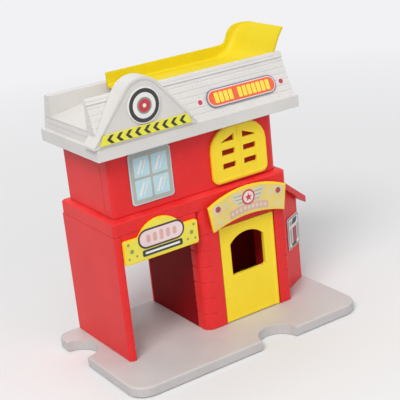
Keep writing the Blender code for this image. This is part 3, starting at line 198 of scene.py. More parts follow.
def moulded(name, base, shade, worn, rough=0.36, wear=0.35, dust=0.08, gloss=0.5):
    """Injection-moulded plastic: mottled, finely grained, rubbed at edges, scratched and dusty."""
    t = Tree(bpy.data.materials.new(name))
    place = t.place()
    rounded = t.rounded(EDGE_ROUND, EDGE_SAMPLES)
    specks = t.noise(place, SPECK_SCALE, SPECK_DETAIL)
    hair = t.ramp(t.noise(place, 1.0, HAIR_DETAIL, HAIR_STRETCH), *HAIR_BAND)
    rubbed = t.math("MULTIPLY", t.corners(rounded, CORNER_BAND), t.ramp(specks, *RUB_BAND))
    normal = t.add("ShaderNodeNewGeometry").outputs["Normal"]
    up = t.add("ShaderNodeSeparateXYZ", {"Vector": normal}).outputs["Z"]
    grime = t.ramp(t.noise(place, DUST_SCALE, DUST_DETAIL), *DUST_BAND)
    settled = t.math("MULTIPLY", t.ramp(up, *LEVEL_BAND), grime)
    clouds = t.ramp(t.noise(place, CLOUD_SCALE, CLOUD_DETAIL), *CLOUD_BAND)
    color = t.mix(clouds, tone(base), tone(shade))
    color = t.mix(t.ramp(specks, *SPECK_BAND, 0.0, SPECK_TINT), color, tone(worn))
    color = t.mix(t.math("MULTIPLY", rubbed, wear), color, tone(worn))
    color = t.mix(t.math("MULTIPLY", hair, HAIR_TINT), color, tone(worn))
    color = t.mix(t.math("MULTIPLY", settled, dust), color, tone(DUST_TONE))
    matt = t.total(rough - MATT_START, (specks, SPECK_MATT), (rubbed, RUB_MATT),
                   (hair, HAIR_MATT), (settled, DUST_MATT))
    normal = t.bump(t.noise(place, GRAIN_SCALE), *GRAIN_BUMP, rounded)
    normal = t.bump(t.noise(place, RIPPLE_SCALE), *RIPPLE_BUMP, normal)
    normal = t.bump(hair, *HAIR_BUMP, normal)
    return t.surface(color, matt, normal, {
        "IOR": PLASTIC_IOR, "Specular IOR Level": gloss,
        "Coat Weight": COAT_SHARE * gloss, "Coat Roughness": COAT_ROUGH,
    })


# Printed film
INK_CLOUD_SCALE, INK_CLOUD_DETAIL, INK_CLOUD_BAND = 60.0, 3.0, (0.32, 0.70)
SCREEN_SCALE, SCREEN_DETAIL, SCREEN_BAND, SCREEN_TINT = 3200.0, 1.0, (0.35, 0.70), 0.10
CHIP_SCALE, CHIP_DETAIL, CHIP_BAND, CHIP_TINT = 700.0, 4.0, (0.45, 0.60), 0.35
INK_CORNER_BAND = (0.99, 0.85)
INK_ROUGH, INK_MATT = 0.32, 0.12
WAVE_SCALE = 190.0
SCREEN_BUMP, WAVE_BUMP = (0.15, 0.00001), (0.18, 0.0001)
INK_ROUND, INK_SAMPLES = 0.0001, 4
BARE_FILM = (0.9, 0.88, 0.85, 1)
INK_CONSTANTS = {"Specular IOR Level": 0.22, "Coat Weight": 0.05, "Coat Roughness": 0.12}


def printed(name, base, shade):
    """Printed film: ink with faint screen mottling, a slightly wavy gloss and a rubbed rim."""
    t = Tree(bpy.data.materials.new(name))
    place = t.place()
    rounded = t.rounded(INK_ROUND, INK_SAMPLES)
    corner = t.corners(rounded, INK_CORNER_BAND)
    clouds = t.ramp(t.noise(place, INK_CLOUD_SCALE, INK_CLOUD_DETAIL), *INK_CLOUD_BAND)
    screen = t.noise(place, SCREEN_SCALE, SCREEN_DETAIL)
    specks = t.noise(place, CHIP_SCALE, CHIP_DETAIL)
    chips = t.math("MULTIPLY", corner, t.ramp(specks, *CHIP_BAND, 0.0, CHIP_TINT))
    color = t.mix(clouds, tone(base), tone(shade))
    color = t.mix(t.ramp(screen, *SCREEN_BAND, 0.0, SCREEN_TINT), color, BARE_FILM)
    color = t.mix(chips, color, BARE_FILM)
    normal = t.bump(screen, *SCREEN_BUMP, rounded)
    normal = t.bump(t.noise(place, WAVE_SCALE), *WAVE_BUMP, normal)
    return t.surface(color, t.total(INK_ROUGH, (specks, INK_MATT)), normal, INK_CONSTANTS)


# Screw steel
ZINC_SCALE, ZINC_DETAIL = 500.0, 4.0
ZINC_LIGHT, ZINC_DARK = (0.60, 0.60, 0.61, 1), (0.42, 0.42, 0.44, 1)
ZINC_ROUGH, ZINC_MATT = 0.22, 0.3
ZINC_GRAIN_SCALE, ZINC_BUMP = 4000.0, (0.3, 0.00002)
ZINC_ROUND, ZINC_SAMPLES = 0.0002, 4


def steel(name):
    """Zinc-plated screw steel."""
    t = Tree(bpy.data.materials.new(name))
    place = t.place()
    clouds = t.noise(place, ZINC_SCALE, ZINC_DETAIL)
    color = t.mix(clouds, ZINC_LIGHT, ZINC_DARK)
    matt = t.math("ADD", ZINC_ROUGH, t.math("MULTIPLY", clouds, ZINC_MATT))
    rounded = t.rounded(ZINC_ROUND, ZINC_SAMPLES)
    normal = t.bump(t.noise(place, ZINC_GRAIN_SCALE), *ZINC_BUMP, rounded)
    return t.surface(color, matt, normal, {"Metallic": 1.0})


RED = moulded("red_plastic", "EA2A2D", "E12528", "F27A70", rough=0.40, dust=0.04, gloss=0.28)
# Painted shade: a darker copy of the red plastic, for the garage partition that stands in the
# garage's shade
PARTITION_RED_PAINTED_SHADE = moulded("dark_red_plastic", "8C040E", "80030A", "962A2E",
                   rough=0.52, wear=0.12, dust=0.02, gloss=0.07)
# Painted shade: dark red for the films behind the window's openings, where there is only shade
WINDOW_BACK_PAINTED_SHADE = moulded("window_back_painted_shade", "A01410", "94110E", "A83428",
                     rough=0.50, wear=0.10, dust=0.0, gloss=0.15)
YELLOW = moulded("yellow_plastic", "FEE024", "FAD81C", "FFF09C", wear=0.28, gloss=0.42)
DECK_YELLOW = moulded("deck_yellow_plastic", "E7D10C", "DFC706", "FFF08C",
                      rough=0.44, wear=0.28, dust=0.04, gloss=0.30)
GREY = moulded("roof_grey_plastic", "DDDAD7", "D4D1CE", "F4F2EF", rough=0.40, wear=0.25)
PLATE_GREY = moulded("plate_grey_plastic", "CCC7C6", "C3BEBE", "EFECEA",
                     rough=0.42, wear=0.25, dust=0.16)
STEEL = steel("screw_steel")
SIGN_YELLOW = printed("print_sign_yellow", "EFD676", "E6CC78")
GARAGE_YELLOW = printed("print_garage_yellow", "F2E54A", "ECDC44")
STRIP_YELLOW = printed("print_strip_yellow", "EEEA3C", "E8E232")
BLACK = printed("print_black", "1E1C20", "2A2629")
WHITE = printed("print_white", "F1EFEC", "E6E4E2")
PINK_WHITE = printed("print_pink_white", "F3DCDD", "EBCFD2")
PINK = printed("print_pink", "E3B3A9", "DAA69C")
DARK_BROWN = printed("print_dark_brown", "43241F", "382020")
PRINT_RED = printed("print_red", "CE2A34", "BE2430")
DOT_RED = printed("print_dot_red", "B83A52", "A83048")
ORANGE = printed("print_orange", "F0602C", "E85624")
BLOCK_YELLOW = printed("print_block_yellow", "FAE048", "F6D83A")
SLATE = printed("print_slate", "7B8294", "6F7688")
PRINT_GREY = printed("print_grey", "B4B6AC", "A8ABA2")
PALE_GREY = printed("print_pale_grey", "DED8BE", "D4CEB2")
MID_GREY = printed("print_mid_grey", "8F9696", "848B8B")
OLIVE = printed("print_olive", "A3A04E", "959242")
PALE_BLUE = printed("print_pale_blue", "BFE0EA", "AFD4E2")


# Meshes
def finish_mesh(name, mesh, material, body="station", replaced=()):
    """Puts a mesh in the scene as a piece that rides on a body."""
    piece = bpy.data.objects.new(name, mesh)
    bpy.context.scene.collection.objects.link(piece)
    mesh.materials.clear()
    mesh.materials.append(material)
    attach(piece, body)
    if replaced:
        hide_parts(*replaced)


def repaint(node, material):
    """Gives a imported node, whose shape stays, a better material."""
    NODES[node].data.materials.clear()
    NODES[node].data.materials.append(material)


def smooth(mesh, angle=SHARP):
    for polygon in mesh.polygons:
        polygon.use_smooth = True
    mesh.set_sharp_from_angle(angle=angle)


def apply_modifiers(mesh, *modifiers):
    """Mesh with the given modifiers applied, each a (kind, settings) pair."""
    carrier = bpy.data.objects.new("carrier", mesh)
    bpy.context.scene.collection.objects.link(carrier)
    for kind, settings in modifiers:
        modifier = carrier.modifiers.new(kind.lower(), kind)
        for key, value in settings.items():
            setattr(modifier, key, value)
    bpy.context.view_layer.update()
    graph = bpy.context.evaluated_depsgraph_get()
    result = bpy.data.meshes.new_from_object(carrier.evaluated_get(graph), depsgraph=graph)
    bpy.data.objects.remove(carrier)
    return result


def bevel_step(width, segments=3):
    return ("BEVEL", {
        "width": width, "segments": segments, "limit_method": "ANGLE", "angle_limit": SHARP,
        "use_clamp_overlap": True, "miter_outer": "MITER_ARC", "profile": 0.6,
    })


def weighted(mesh):
    """Smooth mesh whose normals lean to its large faces."""
    smooth(mesh)
    return apply_modifiers(mesh, ("WEIGHTED_NORMAL", {"keep_sharp": True, "weight": 60}))


def round_edges(mesh, width, segments=3):
    return weighted(apply_modifiers(mesh, bevel_step(width, segments)))


def node_mesh(node):
    """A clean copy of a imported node's mesh, with its flat faces joined."""
    bm = bmesh.new()
    bm.from_mesh(NODES[node].data)
    bmesh.ops.remove_doubles(bm, verts=bm.verts, dist=WELD)
    bmesh.ops.dissolve_limit(bm, angle_limit=FLAT, verts=bm.verts, edges=bm.edges)
    mesh = bpy.data.meshes.new(node + "_shape")
    bm.to_mesh(mesh)
    bm.free()
    return mesh


def mesh_of(bm, name):
    """Mesh of a finished bmesh, its faces turned outwards."""
    bmesh.ops.recalc_face_normals(bm, faces=bm.faces)
    mesh = bpy.data.meshes.new(name)
    bm.to_mesh(mesh)
    bm.free()
    return mesh


def add_solid(bm, lower, upper):
    """Closed solid between two loops with the same number of points."""
    low = [bm.verts.new(point) for point in lower]
    high = [bm.verts.new(point) for point in upper]
    bm.faces.new(high)
    bm.faces.new(list(reversed(low)))
    for index, vertex in enumerate(low):
        after = (index + 1) % len(low)
        bm.faces.new((vertex, low[after], high[after], high[index]))


def add_tube(bm, loops):
    """Closed ring whose section's corners run along the given loops."""
    rings = [[bm.verts.new(point) for point in loop] for loop in loops]
    for index, ring in enumerate(rings):
        other = rings[(index + 1) % len(rings)]
        for i in range(len(ring)):
            after = (i + 1) % len(ring)
            bm.faces.new((ring[i], ring[after], other[after], other[i]))


def prism(bm, points, place, low, high):
    """Closed prism: an outline in a place's own plane, from low to high above it."""
    add_solid(bm, *([place @ Vector((u, v, level)) for u, v in points] for level in (low, high)))


def prisms(name, place, outlines, low, high):
    bm = bmesh.new()
    for points in outlines:
        prism(bm, points, place, low, high)
    return mesh_of(bm, name)


def decal(place, name, outlines, material, slot, level):
    """Printed film of one colour: one thin prism for each outline."""
    mesh = prisms(name, place, outlines, level * FILM - EMBED, (level + 1) * FILM)
    smooth(mesh)
    finish_mesh(name, mesh, material)


def print_films(place, *films):
    """A sign's films, each with its name, outlines, material, slot and level."""
    for film in films:
        decal(place, *film)


def relief(name, place, outlines, low, high, width, material):
    """One rounded piece made of prisms on a surface."""
    mesh = round_edges(prisms(name, place, outlines, low, high), width)
    finish_mesh(name, mesh, material)


def sign_place(node, turn=0.0, tilt=0.0):
    """Frame of a sign's outer face: u to its right, v up it, w out of it, from its middle."""
    matrix = Matrix.Rotation(turn, 3, "Z") @ Matrix.Rotation(math.pi / 2 - tilt, 3, "X")
    axes = [matrix @ Vector(axis) for axis in ((1, 0, 0), (0, 1, 0), (0, 0, 1))]
    spots = [[vertex.co.dot(axis) for vertex in NODES[node].data.vertices] for axis in axes]
    middle = [(min(row) + max(row)) / 2 for row in spots[:2]] + [max(spots[2])]
    origin = sum((axis * value for axis, value in zip(axes, middle)), Vector())
    return Matrix.Translation(origin) @ matrix.to_4x4()


# Outlines, as (u, v) points
def disc(u, v, radius, steps=40):
    angles = [2 * math.pi * i / steps for i in range(steps)]
    return [(u + radius * math.cos(angle), v + radius * math.sin(angle)) for angle in angles]


def round_box(width, height, rounds, steps):
    """Box about its middle, with a round for each corner from the upper right one leftwards."""
    points = []
    corners = ((1, 1), (-1, 1), (-1, -1), (1, -1))
    for i, ((su, sv), r) in enumerate(zip(corners, rounds)):
        cu, cv = su * (width / 2 - r), sv * (height / 2 - r)
        for step in range(steps + 1):
            angle = math.pi / 2 * (i + step / steps)
            points.append((cu + r * math.cos(angle), cv + r * math.sin(angle)))
    return points


def block(u, v, width, height, corner, lean=0.0, steps=5):
    """Rounded block about its middle, leaning by a share of its height."""
    box = round_box(width, height, (corner,) * 4, steps)
    return [(u + pu + lean * pv, v + pv) for pu, pv in box]


def star(u, v, outer, inner, count=5):
    points = []
    for i in range(2 * count):
        radius = outer if i % 2 == 0 else inner
        angle = math.pi / 2 + math.pi * i / count
        points.append((u + radius * math.cos(angle), v + radius * math.sin(angle)))
    return points


def chevron(tip, height, run, stroke):
    half = height / 2
    return [(tip, 0), (tip + run, -half), (tip + run + stroke, -half), (tip + stroke, 0),
            (tip + run + stroke, half), (tip + run, half)]


def bowed(half, low, high, low_rise, high_rise, flare=0.0, steps=24):
    """Band between two shallow arches, its upper one wider by flare at each end."""
    def arch(end, base, rise):
        shares = [i / steps for i in range(steps + 1)]
        return [(2 * end * s - end, base + rise * (1 - (2 * s - 1) ** 2)) for s in shares]
    return arch(half, low, low_rise) + list(reversed(arch(half + flare, high, high_rise)))


# Nodes that become skins with rounded edges: the round, the material and the slot
SHELL_SEGMENTS = 2
SHELLS = {
    "left_wall": (0.0005, RED, "red"),
    "front_wall": (0.00022, RED, "red"),
    "right_wall": (0.0005, RED, "red"),
    "back_wall": (0.0005, RED, "red"),
    # The garage partition takes the red in painted shade
    "garage_partition": (0.0004, PARTITION_RED_PAINTED_SHADE, "dark_red"),
    "wing_roof": (0.0012, RED, "red"),
    "belt_course": (0.0006, RED, "red"),
    "upper_front_wall": (0.0005, RED, "red"),
    "upper_left_wall": (0.0004, RED, "red"),
    "upper_right_wall": (0.0004, RED, "red"),
    "upper_back_wall": (0.0004, RED, "red"),
    "gable": (0.0006, GREY, "light_grey"),
    "window_insert": (0.0005, YELLOW, "yellow"),
    "door": (0.0007, YELLOW, "yellow"),
    "door_sign": (0.0006, YELLOW, "yellow"),
    "garage_sign": (0.0006, YELLOW, "yellow"),
    "pill_sign": (0.0003, SLATE, "label_orange"),
    "hazard_strip": (0.0003, SIGN_YELLOW, "label_yellow"),
    "gable_emblem": (0.0003, WHITE, "label_white"),
    "pane_label": (0.0003, PALE_BLUE, "label_blue"),
    "alarm_label": (0.0003, WHITE, "label_white"),
}

# Brick joints of the roof
ROOF_EDGE = 0.0006
FASCIA_FOOT = 0.1943
FASCIA_HEAD = 0.2250
BACK_HEAD = 0.2230
LEVEL_REACH = 0.0001
COURSE_HEIGHT = 0.00466
COURSES = 6
JOINT = 0.0010
JOINT_FLOOR = 0.0004
JOINT_CLEAR = 0.0004
RING_DEPTH = 0.00022
TICK_DEPTH = 0.00050
TICK_START = 0.06
TICK_SHARE = 0.88
BRICK = 0.0285
BRICK_START = 0.0155
BRICK_STEP = 0.0130
BRICK_RANGE = range(-8, 4)
END_CLEAR = 0.006
FRONT_CLEAR = 0.016
BACK_CLEAR = 0.010
RIM_LINE = 0.2277
RIM_LINE_FRONT = -0.0130


def roof_level(z):
    """Outline of the roof shell at a height: lowest x, highest x, lowest y, highest y."""
    spots = [vertex.co for vertex in NODES["roof_shell"].data.vertices]
    near = [spot for spot in spots if abs(spot.z - z) < LEVEL_REACH]
    xs, ys = [spot.x for spot in near], [spot.y for spot in near]
    return [min(xs), max(xs), min(ys), max(ys)]


def fascia_level(z):
    """Outline of the leaning fascia at a height."""
    foot, head = roof_level(FASCIA_FOOT), roof_level(FASCIA_HEAD)
    back_lean = (roof_level(BACK_HEAD)[3] - foot[3]) / (BACK_HEAD - FASCIA_FOOT)
    share = (z - FASCIA_FOOT) / (FASCIA_HEAD - FASCIA_FOOT)
    outline = [low + (high - low) * share for low, high in zip(foot, head)]
    outline[3] = foot[3] + back_lean * (z - FASCIA_FOOT)
    return outline


def joint_profile(depth):
    """Corners of a joint's cutter, each as its half width and its depth into the surface."""
    mouth = JOINT / 2 + (JOINT - JOINT_FLOOR) / 2 * JOINT_CLEAR / depth
    half = JOINT_FLOOR / 2
    return (-mouth, -JOINT_CLEAR), (mouth, -JOINT_CLEAR), (half, depth), (-half, depth)


def add_ring(bm, outline, z):
    """Ring that cuts a level joint into all four sides."""
    x0, x1, y0, y1 = outline
    loops = []
    for rise, d in joint_profile(RING_DEPTH):
        corners = ((x0 + d, y0 + d), (x1 - d, y0 + d), (x1 - d, y1 - d), (x0 + d, y1 - d))
        loops.append([(x, y, z + rise) for x, y in corners])
    add_tube(bm, loops)


def add_tick(bm, low, high, along, inward, depth=TICK_DEPTH):
    """Straight joint from low to high on a face."""
    along, inward = Vector(along), Vector(inward)
    profile = joint_profile(depth)
    add_solid(bm, *([Vector(spot) + along * half + inward * reach for half, reach in profile]
                    for spot in (low, high)))


def joint_ticks():
    """Cutters for the upright joints of every course."""
    bm = bmesh.new()
    for course in range(COURSES):
        low_z = FASCIA_FOOT + (course + TICK_START) * COURSE_HEIGHT
        high_z = low_z + TICK_SHARE * COURSE_HEIGHT
        low, high = fascia_level(low_z), fascia_level(high_z)
        for index in BRICK_RANGE:
            spot = BRICK_START + BRICK_STEP * course + index * BRICK
            if low[0] + END_CLEAR < spot < low[1] - END_CLEAR:
                for face, inward in ((2, 1), (3, -1)):
                    add_tick(bm, (spot, low[face], low_z), (spot, high[face], high_z),
                             (1, 0, 0), (0, inward, 0))
            if low[2] + FRONT_CLEAR < spot < low[3] - BACK_CLEAR:
                for face, inward in ((0, 1), (1, -1)):
                    add_tick(bm, (low[face], spot, low_z), (high[face], spot, high_z),
                             (0, 1, 0), (inward, 0, 0))
    return mesh_of(bm, "joint_ticks")


def joint_rings():
    """Cutters for the level joints, and for the two lines along the front's head."""
    bm = bmesh.new()
    for course in range(1, COURSES):
        z = FASCIA_FOOT + course * COURSE_HEIGHT
        add_ring(bm, fascia_level(z), z)
    x0, x1, _, _ = roof_level(FASCIA_HEAD)
    head = FASCIA_FOOT + COURSES * COURSE_HEIGHT
    for y, z in ((fascia_level(head)[2], head), (RIM_LINE_FRONT, RIM_LINE)):
        ends = ((x0 - 2 * JOINT, y, z), (x1 + 2 * JOINT, y, z))
        add_tick(bm, *ends, (0, 0, 1), (0, 1, 0), RING_DEPTH)
    return mesh_of(bm, "joint_rings")


def cut(mesh, cutter_mesh):
    cutter = bpy.data.objects.new("cutter", cutter_mesh)
    bpy.context.scene.collection.objects.link(cutter)
    settings = {"operation": "DIFFERENCE", "solver": "EXACT", "object": cutter}
    result = apply_modifiers(mesh, ("BOOLEAN", settings))
    bpy.data.objects.remove(cutter)
    return result


def roof_mesh():
    mesh = apply_modifiers(node_mesh("roof_shell"), bevel_step(ROOF_EDGE))
    return weighted(cut(cut(mesh, joint_rings()), joint_ticks()))


def shells():
    for node, (width, material, slot) in SHELLS.items():
        mesh = round_edges(node_mesh(node), width, SHELL_SEGMENTS)
        finish_mesh(node + "_skin", mesh, material, BODY_OF[node], (node,))
    finish_mesh("roof_skin", roof_mesh(), GREY, replaced=("roof_shell",))
    repaint("base_plate", PLATE_GREY)


def screws():
    for node in NODES:
        if "_screw_" in node:
            repaint(node, STEEL)


# Launch deck
DECK_LEFT = -0.047
DECK_FRONT = -0.0085
DECK_BACK = 0.0512
DECK_LEVEL = 0.21975
DECK_EDGE = 0.0006
DECK_SHARP = math.radians(38)
DECK_WELD = 0.00002
SHEET = 0.0022
RAIL_TOP = 0.2299
REAR_RAIL_TOP = 0.2314
RAIL_END = 0.0012
CURVE_START = 0.063
CHANNEL_ROWS = 10
SCOOP_ROWS = 30
SCOOP_RUN = 0.0340
SCOOP_RISE = 0.0290
SCOOP_CURVE = (
    (0.0, 0.0), (0.12, 0.004), (0.24, 0.022), (0.35, 0.065), (0.45, 0.135), (0.53, 0.225),
    (0.60, 0.330), (0.65, 0.450), (0.70, 0.580), (0.76, 0.715), (0.83, 0.850), (0.93, 0.995),
)
WALL_CURVE = (
    (0.0, 0.402), (0.14, 0.404), (0.23, 0.415), (0.30, 0.455), (0.355, 0.540), (0.40, 0.690),
    (0.46, 0.810), (0.54, 0.895), (0.62, 0.950), (0.72, 0.985), (0.83, 0.998), (0.93, 0.998),
)
CUP_ROUND = 0.020
CUP_GROWTH = 2.2
CUP_CLIMB = 0.62
CUP_STEPS = 8
LOW_ROUND = 0.0035
LOW_ROUND_SHARE = 0.45
LOW_STEPS = 5
FLAT_STEPS = 6

# Runners and shaft below the deck
RUNNER_LEFT = -0.027
RUNNER_FOOT = 0.2143
RUNNER_HALF = 0.001
RUNNER_INSET = 0.009
SHAFT_SPOT = -0.040
SHAFT_RADIUS = 0.0018
SHAFT_LENGTH = 0.0663
SHAFT_SIDES = 28


def resample(points, count):
    """Evenly spaced points along a polyline."""
    spots = [Vector(point) for point in points]
    lengths = [0.0]
    for before, after in zip(spots, spots[1:]):
        lengths.append(lengths[-1] + (after - before).length)
    result = []
    for i in range(count):
        goal = lengths[-1] * i / (count - 1)
        k = max(j for j in range(len(spots) - 1) if lengths[j] <= goal + WELD)
        share = (goal - lengths[k]) / (lengths[k + 1] - lengths[k])
        result.append(spots[k].lerp(spots[k + 1], min(share, 1.0)))
    return result


def relax(points, rounds=3):
    """Smooths a polyline, its ends kept."""
    for _ in range(rounds):
        inner = [(a + b * 2 + c) / 4 for a, b, c in zip(points, points[1:], points[2:])]
        points = [points[0]] + inner + [points[-1]]
    return points


def scoop_line(curve):
    """Smooth line along the scoop of a curve given in shares of its run and rise."""
    spots = [(CURVE_START + SCOOP_RUN * run, 0, DECK_LEVEL + SCOOP_RISE * rise)
             for run, rise in curve]
    return relax(resample(spots, SCOOP_ROWS))


def cup_limit(x):
    """Rearmost y of the sheet at x: the far corner of the scoop is rounded in plan."""
    over = x - (CURVE_START + SCOOP_RUN - CUP_ROUND)
    back = DECK_BACK - SHEET / 2
    if over <= 0:
        return back
    return back - CUP_ROUND + math.sqrt(max(CUP_ROUND ** 2 - over ** 2, 0.0))


def fillet(start, corner, end, steps):
    """Rounded turn from start to end past a corner."""
    shares = [i / steps for i in range(steps + 1)]
    return [start.lerp(corner, s).lerp(corner.lerp(end, s), s) for s in shares]


def deck_section(floor, wall, share):
    """Cross-section from the front rail's top over the floor to the rear wall's top."""
    front, back = DECK_FRONT + SHEET / 2, cup_limit(floor.x)
    rail = RAIL_TOP - floor.z if RAIL_TOP - floor.z > RAIL_END else 0.0
    low_round = min(LOW_ROUND, rail * LOW_ROUND_SHARE)
    corner = Vector((floor.x, front, floor.z))
    points = [corner + Vector((0, 0, rail)), corner + Vector((0, 0, (rail + low_round) / 2))]
    points += fillet(corner + Vector((0, 0, low_round)), corner,
                     corner + Vector((0, low_round, 0)), LOW_STEPS)
    reach = LOW_ROUND + (CUP_ROUND - LOW_ROUND) * min(1.0, share * CUP_GROWTH)
    flat = back - reach - front - low_round
    for i in range(1, FLAT_STEPS):
        points.append(Vector((floor.x, front + low_round + flat * i / FLAT_STEPS, floor.z)))
    corner = Vector((floor.x, back, floor.z))
    top = Vector((wall.x, cup_limit(wall.x), wall.z))
    climb = top - corner
    up = Vector()
    if climb.length > WELD:
        up = climb.normalized() * min(reach, climb.length * CUP_CLIMB)
    points += fillet(corner - Vector((0, reach, 0)), corner, corner + up, CUP_STEPS)
    return points + [(corner + up).lerp(top, 0.5), top]


def deck_sheet():
    """Channel floor with its rails, rising at the right into the cupped scoop."""
    bm = bmesh.new()
    rows = []
    for i in range(CHANNEL_ROWS):
        x = DECK_LEFT + (CURVE_START - DECK_LEFT) * i / CHANNEL_ROWS
        rows.append((Vector((x, 0, DECK_LEVEL)), Vector((x, 0, REAR_RAIL_TOP)), 0.0))
    for index, (low, high) in enumerate(zip(scoop_line(SCOOP_CURVE), scoop_line(WALL_CURVE))):
        rows.append((low, high, index / (SCOOP_ROWS - 1)))
    grid = [[bm.verts.new(point) for point in deck_section(*row)] for row in rows]
    for before, after in zip(grid, grid[1:]):
        for i in range(len(before) - 1):
            bm.faces.new((before[i], before[i + 1], after[i + 1], after[i]))
    bmesh.ops.remove_doubles(bm, verts=bm.verts, dist=DECK_WELD)
    return mesh_of(bm, "deck_sheet")


def launch_deck():
    thicken = ("SOLIDIFY", {"thickness": SHEET, "offset": 0.0, "use_even_offset": False})
    bm = bmesh.new()
    bm.from_mesh(apply_modifiers(deck_sheet(), thicken, bevel_step(DECK_EDGE)))
    middle = (DECK_FRONT + DECK_BACK) / 2
    for side in SIDES:
        y = middle + side * ((DECK_BACK - DECK_FRONT) / 2 - RUNNER_INSET)
        low, high = y - RUNNER_HALF, y + RUNNER_HALF
        plan = [(RUNNER_LEFT, low), (CURVE_START, low), (CURVE_START, high), (RUNNER_LEFT, high)]
        prism(bm, plan, Matrix(), RUNNER_FOOT, DECK_LEVEL)
    shaft = Matrix.Translation((SHAFT_SPOT, middle, DECK_LEVEL)) @ UPRIGHT
    bmesh.ops.create_cone(bm, cap_ends=True, segments=SHAFT_SIDES, radius1=SHAFT_RADIUS,
                          radius2=SHAFT_RADIUS, depth=SHAFT_LENGTH, matrix=shaft)
    mesh = mesh_of(bm, "launch_deck_skin")
    smooth(mesh, DECK_SHARP)
    finish_mesh("launch_deck_skin", mesh, DECK_YELLOW, "deck", ("launch_deck",))


# Gable frame
GABLE_HALF = 0.0470
GABLE_SHOULDER = -0.0260
GABLE_ROUND = 0.020
FRAME_SPAN = (0.0005, 0.0027)
FRAME_PROUD = 0.0005
FRAME_EDGE = 0.00022
FOOT_SHARE = 0.5


def gable_edge(inset, steps=28):
    """Gable slopes and round top about the round's centre, without the foot."""
    half, radius = GABLE_HALF - inset, GABLE_ROUND - inset
    foot = Vector((half, GABLE_SHOULDER + inset * FOOT_SHARE))
    tangent = math.atan2(foot.y, foot.x) + math.acos(radius / foot.length)
    sweep = math.pi - 2 * tangent
    angles = [tangent + sweep * i / steps for i in range(steps + 1)]
    top = [(radius * math.cos(angle), radius * math.sin(angle)) for angle in angles]
    return [tuple(foot)] + top + [(-foot.x, foot.y)]


def gable_frame():
    low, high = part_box("gable")
    centre = ((low.x + high.x) / 2, low.y, high.z - GABLE_ROUND)
    outer, inner = (gable_edge(inset) for inset in FRAME_SPAN)
    relief("gable_frame", Matrix.Translation(centre) @ UPRIGHT, [outer + list(reversed(inner))],
           -EMBED, FRAME_PROUD, FRAME_EDGE, GREY)


# Window insert: raised rim and bar
WINDOW_WIDTH = 0.056
WINDOW_HEIGHT = 0.048
WINDOW_TOP_ROUND = 0.020
WINDOW_FOOT_ROUND = 0.006
WINDOW_STEPS = 10
RIM_SPAN = (0.0012, 0.0030)
RIM_PROUD = 0.0004
RIM_EDGE = 0.00025
BAR = {"u": 0, "v": 0.0015, "width": 0.0022, "height": 0.0390, "corner": 0.0009}
BAR_EDGE = 0.0002


def window_edge(inset):
    top, foot = WINDOW_TOP_ROUND - inset, WINDOW_FOOT_ROUND - inset
    return round_box(WINDOW_WIDTH - 2 * inset, WINDOW_HEIGHT - 2 * inset,
                     (top, top, foot, foot), WINDOW_STEPS)


def window_relief():
    place = sign_place("window_insert")
    outer, inner = (window_edge(inset) for inset in RIM_SPAN)
    bm = bmesh.new()
    section = ((outer, -EMBED), (outer, RIM_PROUD), (inner, RIM_PROUD), (inner, -EMBED))
    add_tube(bm, [[place @ Vector((u, v, height)) for u, v in edge] for edge, height in section])
    finish_mesh("window_rim", round_edges(mesh_of(bm, "window_rim"), RIM_EDGE), YELLOW)
    relief("window_bar", place, [block(**BAR)], -EMBED, RIM_PROUD, BAR_EDGE, YELLOW)


# Painted shade: dark red films behind the window's openings, standing in for the shade inside
# them: each row's foot, outer height and inner height
PANE_ROWS = ((0.0113, 0.0050, 0.0050), (0.0230, 0.0050, 0.0050), (0.0345, 0.0007, 0.0058))
PANE_INNER = 0.00425
PANE_OUTER = 0.01725
PANE_SPARE = 0.0002


def window_painted_shade():
    low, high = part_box("window_insert")
    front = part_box("upper_front_wall")[0].y
    place = Matrix.Translation(((low.x + high.x) / 2, front, low.z)) @ UPRIGHT
    inner, outer = PANE_INNER - PANE_SPARE, PANE_OUTER + PANE_SPARE
    shapes = []
    for side in SIDES:
        for base, outer_rise, inner_rise in PANE_ROWS:
            foot, spare = base - PANE_SPARE, 2 * PANE_SPARE
            shapes.append([(side * inner, foot), (side * outer, foot),
                           (side * outer, foot + outer_rise + spare),
                           (side * inner, foot + inner_rise + spare)])
    print_films(place, ("window_painted_shade", shapes, WINDOW_BACK_PAINTED_SHADE, "dark_red", 0))


# Lintel behind the garage sign, with a rib at its right end
LINTEL_FOOT = 0.1060
LINTEL_ARCH = 0.0040
LINTEL_DEPTH = 0.0024
LINTEL_EDGE = 0.0004
LINTEL_RIB = 0.0016
LINTEL_RIB_DEPTH = 0.0090
FIT = 0.0002

# Rib behind the door's hinge side
RIB_LEFT = 0.0600
RIB_THICK = 0.0016
RIB_FRONT = -0.0203
RIB_BACK = 0.0120
RIB_HEAD = 0.1100
RIB_FALL = 4 * RIB_THICK
RIB_EDGE = 0.0003


def garage_lintel():
    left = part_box("left_wall")[1].x + FIT
    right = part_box("front_wall")[0].x - FIT
    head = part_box("left_wall")[1].z
    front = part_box("front_wall")[0].y
    place = Matrix.Translation(((left + right) / 2, front, 0)) @ UPRIGHT
    half = (right - left) / 2
    outline = bowed(half, LINTEL_FOOT, head, LINTEL_ARCH, 0.0)
    relief("garage_lintel", place, [outline], -LINTEL_DEPTH, 0.0, LINTEL_EDGE, RED)
    inner = half - LINTEL_RIB
    rib = [(inner, LINTEL_FOOT), (half, LINTEL_FOOT), (half, head), (inner, head)]
    relief("lintel_rib", place, [rib], -LINTEL_RIB_DEPTH, EMBED - LINTEL_DEPTH, RIB_EDGE,
           RED)


def door_rib():
    place = Matrix.Translation((RIB_LEFT, 0, 0)) @ Matrix.Rotation(math.pi / 2, 4, "Z") @ UPRIGHT
    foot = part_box("front_wall")[0].z
    outline = [(RIB_FRONT, foot), (RIB_BACK, foot), (RIB_BACK, RIB_HEAD - RIB_FALL),
               (RIB_FRONT, RIB_HEAD)]
    relief("door_rib", place, [outline], 0.0, RIB_THICK, RIB_EDGE, RED)


